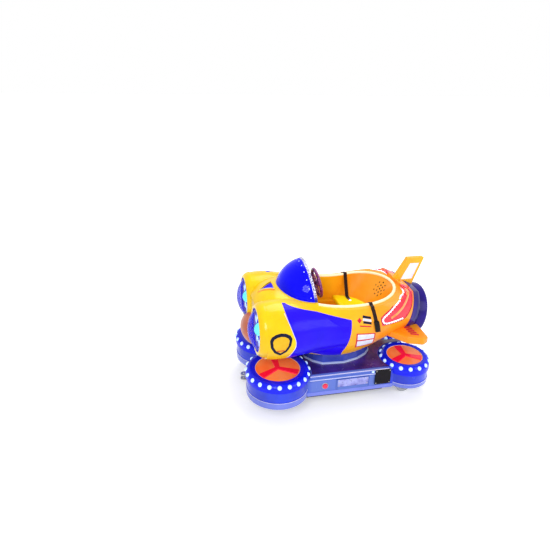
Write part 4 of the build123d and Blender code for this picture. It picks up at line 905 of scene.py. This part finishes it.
# Cockpit: yellow seat moulding, maroon steering wheel with metal flakes in the plastic, dark dash
# with two push buttons and two round dials
seat_gelcoat = gelcoat("seat_gelcoat", "#FFEA10", "#FFDC08")[0]
paint(seat_gelcoat, "seat")
flake_maroon, shader, where, shades, _ = surface(
    "flake_maroon", "#7A1068", "#420A40", 18.0, 0.2, 0.15, 2.5, 0.1,
    {"Specular IOR Level": 0.3, "Coat Weight": 0.3},
)
flakes = add_node(flake_maroon, "ShaderNodeTexVoronoi", {"Scale": 330.0}, {"Vector": where})
split = add_node(flake_maroon, "ShaderNodeSeparateColor", None, {"Color": flakes.outputs["Color"]})
wheel_flakes = (0.78, 0.9)
flake_shade = blend(flake_maroon, split.outputs["Red"], wheel_flakes, shades.outputs[2], "#E07BC8")
flake_maroon.node_tree.links.new(flake_shade, shader.inputs["Base Color"])
paint(flake_maroon, "steering_wheel", "steering_column")
dash_plastic = surface("dash_plastic", "#332C52", "#231E3A", 60.0, 0.4, 0.2, 1.2, 0.15)[0]
paint(dash_plastic, "dash")

wheel_tilt = math.radians(12.0)
wheel_middle = Vector((160.0, 0.0, 876.0))
hub_half = 11.0
wheel_axis = Vector((-math.cos(wheel_tilt), 0.0, math.sin(wheel_tilt)))
hub_face = wheel_middle + wheel_axis * hub_half
cap = turned(24.0, 4.0, 40, [(3.0, 2.0, "slope"), (8.0, 1.5, "slope")])
settle(set_out(cap, [facing(hub_face, wheel_axis)]), "wheel_cap", chrome_plate, "steering")

dash_face_x = 230.4
dash_turn = Vector((-184.0, 0.0, 10.0)).normalized()
knob = turned(21.0, 6.0, 48, [(3.0, -3.0, "wall"), (2.0, 5.0, "wall"), (3.0, 1.0, "slope")])
places = [facing((dash_face_x, y, 780.0), dash_turn) for y in (-150.0, 150.0)]
settle(set_out(knob, places), "dash_buttons", button_plastic, "car")

# Dials: a blank pale card in a chrome-plated ring, which stands on the face of the dash, one on each
# side of the column
ring = turned(31.0, 7.0, 64, [(4.0, -5.0, "wall")])
places = [facing((dash_face_x, y, 790.0), dash_turn) for y in (-75.0, 75.0)]
settle(set_out(ring, places), "dial_rings", chrome_plate, "car")
dial = turned(26.8, 2.0, 64, [(4.0, 0.8, "slope")], base=2.0)
dial_card = surface("dial_card", "#D9DCE8", "#C3C7D8", 20.0, 0.3, 0.1, 1.0, 0.03)[0]
settle(set_out(dial, places), "dial_faces", dial_card, "car")


# Belts: woven polyester webbing, threads 1.4 mm apart and drawn at 2.4 mm to show. Each strap lies
# on the seat, climbs the wall, crosses the rim and hangs outside. Black moulded buckles end them,
# apart from the seat end of the right one, which has a tongue
def taken_from(name):
    """A copy of a CAD node's mesh, its doubled points merged."""
    copy = bpy.data.objects.new(name, nodes[name].data.copy())
    scene.collection.objects.link(copy)
    edit(copy)
    bpy.ops.mesh.remove_doubles(threshold=0.00002)
    bpy.ops.object.mode_set(mode="OBJECT")
    return copy


webbing, shader, _, _, bump = surface(
    "polyester_webbing", "#2E1A16", "#1A0D0B", 30.0, 0.7, 0.2, 1.5, 0.1,
    {"Specular IOR Level": 0.2, "Sheen Weight": 0.1},
)
strap_width = 28.0
strap_thickness = 1.8
strap_gap = 1.8
thread = 2.4
lengthwise = add_node(webbing, "ShaderNodeUVMap")
strap_mm = add_node(
    webbing, "ShaderNodeMapping", {"Scale": (strap_width / thread, strap_width / thread, 1.0)},
    {"Vector": lengthwise.outputs["UV"]},
)
threads = [
    add_node(
        webbing, "ShaderNodeTexWave", {"bands_direction": direction, "Scale": 0.3183},
        {"Vector": strap_mm.outputs["Vector"]},
    ).outputs["Fac"]
    for direction in ("X", "Y")
]
weave = add_node(webbing, "ShaderNodeMath", {"operation": "MULTIPLY"}, dict(enumerate(threads)))
weave_bump = add_node(
    webbing, "ShaderNodeBump", {"Strength": 0.8, "Distance": 0.0006},
    {"Height": weave.outputs[0], "Normal": bump.outputs["Normal"]},
)
webbing.node_tree.links.new(weave_bump.outputs["Normal"], shader.inputs["Normal"])

strap_x = -165.0
hang_top, hang_low = 786.0, 613.0
hang_lean = (strap_x + 214.0) / (800.0 - 612.0)
across_count = 7
for side, side_name, inner_end in ((1, "left", 60.0), (-1, "right", 140.0)):
    climb = [
        (inner_end, 641.9), (150.0, 641.9), (172.0, 642.0), (184.0, 644.5), (191.5, 652.0), (197.0, 664.0),
        (226.0, 728.5), (255.2, 803.6), (259.0, 811.0), (265.0, 816.4), (273.0, 818.2), (281.0, 816.0),
        (287.5, 809.5), (293.0, 806.6), (304.0, 806.2), (314.0, 805.4), (319.5, 800.0), (323.5, 791.5),
    ]
    climb = [point for point in climb if point[0] >= inner_end]
    rows = []
    for y, z in (tuple(p[1:]) for p in smooth_run([(0.0, y, z) for y, z in climb], 4)):
        rows.append([
            Vector((strap_x + strap_width * (step / (across_count - 1) - 0.5), side * y, z))
            for step in range(across_count)
        ])
    hang = []
    for z in (hang_top - 6.0 - (hang_top - 6.0 - hang_low) * step / 24 for step in range(25)):
        middle_x = strap_x - (800.0 - z) * hang_lean
        line = [
            Vector((middle_x + strap_width * (step / (across_count - 1) - 0.5), side * 400.0, z))
            for step in range(across_count)
        ]
        laid = laid_on("cockpit_body", line, Vector((0, side, 0)), strap_gap)
        hang.append([Vector(place) for place in laid])
    rows += hang
    strap = begin(
        bpy.ops.mesh.primitive_grid_add,
        x_subdivisions=across_count - 1, y_subdivisions=len(rows) - 1, size=1.0, calc_uvs=True
    )
    order = sorted(strap.data.vertices, key=lambda vertex: (round(vertex.co.y, 6), vertex.co.x))
    gone, along_mm = 0.0, []
    for index, row in enumerate(rows):
        if index:
            gone += (row[3] - rows[index - 1][3]).length
        along_mm.append(gone)
    place_of = {}
    for index, vertex in enumerate(order):
        row, step = divmod(index, across_count)
        vertex.co = rows[row][step] / 1000.0
        place_of[vertex.index] = (step / (across_count - 1), along_mm[row] / strap_width)
    for loop in strap.data.loops:
        strap.data.uv_layers.active.data[loop.index].uv = place_of[loop.vertex_index]
    edit(strap)
    bpy.ops.mesh.normals_make_consistent(inside=False)
    bpy.ops.object.mode_set(mode="OBJECT")
    modify(strap, "SOLIDIFY", thickness=strap_thickness / 1000, offset=0.0)
    modify(strap, "BEVEL", width=0.0006, segments=2, limit_method="ANGLE")
    piece = settle(strap, f"strap_{side_name}", webbing, "car", 60.0)
    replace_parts(piece, f"belt_{side_name}")

# Tongue: a chrome-plated steel plate with a shallow recess in its top, at the seat end of the
# right strap
tongue = block((24.0, 34.0, 1.8), 0.5, 2)
edit(tongue, lambda centre, normal: normal.z > 0.9)
bpy.ops.mesh.inset(thickness=0.006)
bpy.ops.mesh.extrude_region_move(TRANSFORM_OT_translate={"value": (0, 0, -0.0012)})
bpy.ops.object.mode_set(mode="OBJECT")
place = facing((strap_x, -126.0, 641.6), (0, 0, 1))
settle(set_out(tongue, [place]), "belt_tongue", chrome_plate, "car")

buckle_nylon = surface(
    "buckle_nylon", "#1A1214", "#0E090A", 20.0, 0.45, 0.15, 0.8, 0.12,
    {"Specular IOR Level": 0.15},
)[0]
buckles = taken_from("belt_buckles")
edit(buckles, lambda centre, normal: -0.1 < centre.y < 0.0)
bpy.ops.mesh.delete(type="FACE")
bpy.ops.object.mode_set(mode="OBJECT")
modify(buckles, "BEVEL", width=0.0015, segments=3, limit_method="ANGLE", angle_limit=math.radians(50.0))
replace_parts(settle(buckles, "buckles", buckle_nylon, "car"), "belt_buckles")

button = block((24.0, 16.0, 6.0), 2.0, 3)
place = facing((strap_x, 20.0, 649.5), (0, 0, 1))
settle(set_out(button, [place]), "buckle_button", button_plastic, "car")

# Tail lights: red acrylic with a lit white tube along the front and lower edge, a dark red border and
# an orange stripe, all let into the body
red_acrylic = surface(
    "red_acrylic", "#FF2C48", "#EE1434", 120.0, 0.06, 0.08, 5.0, 0.05,
    lit("#FF2038", 0.15),
)[0]
paint(red_acrylic, "tail_light_left", "tail_light_right")
orange_acrylic = surface(
    "orange_acrylic", "#FF9A5C", "#FF8444", 40.0, 0.1, 0.1, 4.0, 0.05,
    lit("#FF8A48", 0.2),
)[0]
border_red = surface("border_red", "#C01830", "#98122A", 40.0, 0.2, 0.1, 4.0, 0.05)[0]

tail_outward = Vector((-0.35, 0.75, 0.55)).normalized()
front_edge = [
    (-440.0, 128.0, 842.0), (-406.0, 215.0, 818.0), (-346.0, 292.0, 790.0), (-296.0, 322.0, 752.0),
    (-250.0, 334.0, 716.0), (-246.0, 336.0, 690.0), (-272.0, 334.0, 670.0), (-340.0, 322.0, 674.0),
    (-420.0, 300.0, 682.0),
]
outer_edge = [
    (-446.0, 122.0, 850.0), (-412.0, 212.0, 829.0), (-342.0, 298.0, 803.0), (-288.0, 325.0, 761.0),
    (-236.0, 335.0, 722.0), (-238.0, 337.0, 684.0), (-264.0, 334.0, 659.0), (-340.0, 322.0, 664.0),
    (-432.0, 296.0, 672.0), (-482.0, 281.0, 720.0), (-508.0, 240.0, 785.0), (-470.0, 126.0, 848.0),
]
stripe_edge = [
    (-470.0, 150.0, 838.0), (-458.0, 220.0, 812.0), (-420.0, 276.0, 772.0), (-366.0, 308.0, 730.0),
    (-312.0, 326.0, 704.0),
]
for name, edge_points, thickness, lift_mm, material in (
    ("tail_tubes", front_edge, 3.8, 1.0, led_white),
    ("tail_borders", outer_edge, 3.5, 0.5, border_red),
    ("tail_stripes", stripe_edge, 12.0, -7.0, orange_acrylic),
):
    run = laid_on("tail_light_left", smooth_run(edge_points), tail_outward, lift_mm)
    runs = [run, [(x, -y, z) for x, y, z in run]]
    settle(tube(name, runs, thickness), name, material, "car")

# Tail beads: small moulded domes of lit white acrylic along the tube, which give it its
# saw-toothed look
bead_step = 17.0
run = [Vector(p) for p in laid_on("tail_light_left", smooth_run(front_edge), tail_outward, 3.0)]
spots, gone = [], 0.0
for start, end in zip(run, run[1:]):
    gone += (end - start).length
    if gone >= bead_step:
        spots.append(end)
        gone = 0.0
tooth = begin(bpy.ops.mesh.primitive_uv_sphere_add, segments=16, ring_count=12, radius=0.0068)
cut_below(tooth, -3.0)
places = [facing(spot, tail_outward) for spot in spots]
places += [
    facing((spot.x, -spot.y, spot.z), (tail_outward.x, -tail_outward.y, tail_outward.z)) for spot in spots
]
settle(set_out(tooth, places), "tail_beads", led_white, "car")

# Speaker holes in the rear wall of the tub: dark brown discs, a little recessed, a painted shade inside
# punched holes; one with two rings round it, a little to the right of the middle
hole_shade = surface(
    "speaker_hole_shade", "#6A3A14", "#3A200E", 4.0, 0.7, 0.2, 1.0, 0.2,
    {"Specular IOR Level": 0.1},
)[0]
hole = turned(6.8, 1.6, 24, [(0.9, -0.9, "wall")], base=-0.8)
wall_in = Vector((0.81, 0.18, 0.55)).normalized()
middle = Vector((-382.0, -50.0, 758.0))
across = wall_in.cross(Vector((0, 0, 1))).normalized()
above = across.cross(wall_in)
places = []
for count, ring_radius in ((1, 0.0), (6, 30.0), (9, 58.0)):
    for step in range(count):
        turn = 2 * math.pi * (step + 0.25) / count
        place = middle + across * ring_radius * math.cos(turn) + above * ring_radius * math.sin(turn)
        spot = laid_on("cockpit_body", [place], wall_in, 0.2, 60.0)[0]
        places.append(facing(spot, wall_in))
settle(set_out(hole, places), "speaker_holes", hole_shade, "car")

# Thruster: a deep violet housing of gelcoated glass-fibre behind the body, closed by a face with
# twelve slanted blades of lighter violet plastic
thruster_gelcoat = gelcoat(
    "thruster_gelcoat", "#2E12A0", "#1C0A6C", 0.25,
    settings={"Specular IOR Level": 0.12, "Coat Weight": 0.1},
)[0]
paint(thruster_gelcoat, "thruster_housing", "thruster_face")

# Collar: a thin moulded cap of the same violet, over the end of the body where the housing meets it
collar = taken_from("cockpit_body")
collar_ahead = Vector((-0.497, 0.0, 0.610))
slope = Vector((1.0, 0.0, 0.192)).normalized()
edit(collar)
bpy.ops.mesh.bisect(plane_co=collar_ahead, plane_no=slope, clear_outer=True)
bpy.ops.object.mode_set(mode="OBJECT")
edit(collar, lambda centre, normal: normal.dot(centre - collar_ahead) < 0)
bpy.ops.mesh.delete(type="FACE")
bpy.ops.object.mode_set(mode="OBJECT")
modify(collar, "SOLIDIFY", thickness=0.0024, offset=1.0, use_even_offset=True)
settle(collar, "thruster_collar", thruster_gelcoat, "car")

blade = block((64.0, 10.0, 14.0), 3.0, 4)
blade_count = 12
blade_middle_r = 126.0
blade_lean = 24.0
rearward = Vector((-1.0, 0.0, -0.192)).normalized()
face_middle = Vector((-570.7, 0.0, 610.0)) + rearward * 96.0
places = []
for step in range(blade_count):
    turn = Matrix.Rotation(2 * math.pi * step / blade_count, 4, "Z")
    spin = turn @ Matrix.Translation((blade_middle_r / 1000, 0.0, 0.004))
    lean = Matrix.Rotation(math.radians(blade_lean), 4, "X")
    places.append(facing(face_middle, rearward) @ spin @ lean)
blade_plastic = gelcoat("blade_plastic", "#5A3FE0", "#3E28B0")[0]
settle(set_out(blade, places), "thruster_blades", blade_plastic, "car")

# Fin: a frame moulded in amber gelcoat, a white diffuser sheet let into both sides, and a narrow
# capping bar down its rear edge that closes the frame behind the light
fin_gelcoat = gelcoat(
    "fin_gelcoat", "#FFC62C", "#FFAE22",
    settings={"Specular IOR Level": 0.16, "Coat Weight": 0.18},
)[0]
paint(fin_gelcoat, "fin_frame")
diffuser = surface(
    "white_diffuser", "#EDE9FF", "#D8D2F8", 60.0, 0.3, 0.1, 3.0, 0.05,
    lit("#FFFFFF", 0.25),
)[0]
paint(diffuser, "fin_light")

cap_bar = block((15.0, 34.6, 240.0), 4.0, 4)
fin_rear_back, fin_rear_up = -50.0, 134.0
lean = Matrix.Rotation(math.atan2(fin_rear_back, fin_rear_up), 4, "Y")
place = Matrix.Translation(Vector((-651.0, 0.0, 922.0)) / 1000.0) @ lean
settle(set_out(cap_bar, [place]), "fin_cap", fin_gelcoat, "car")
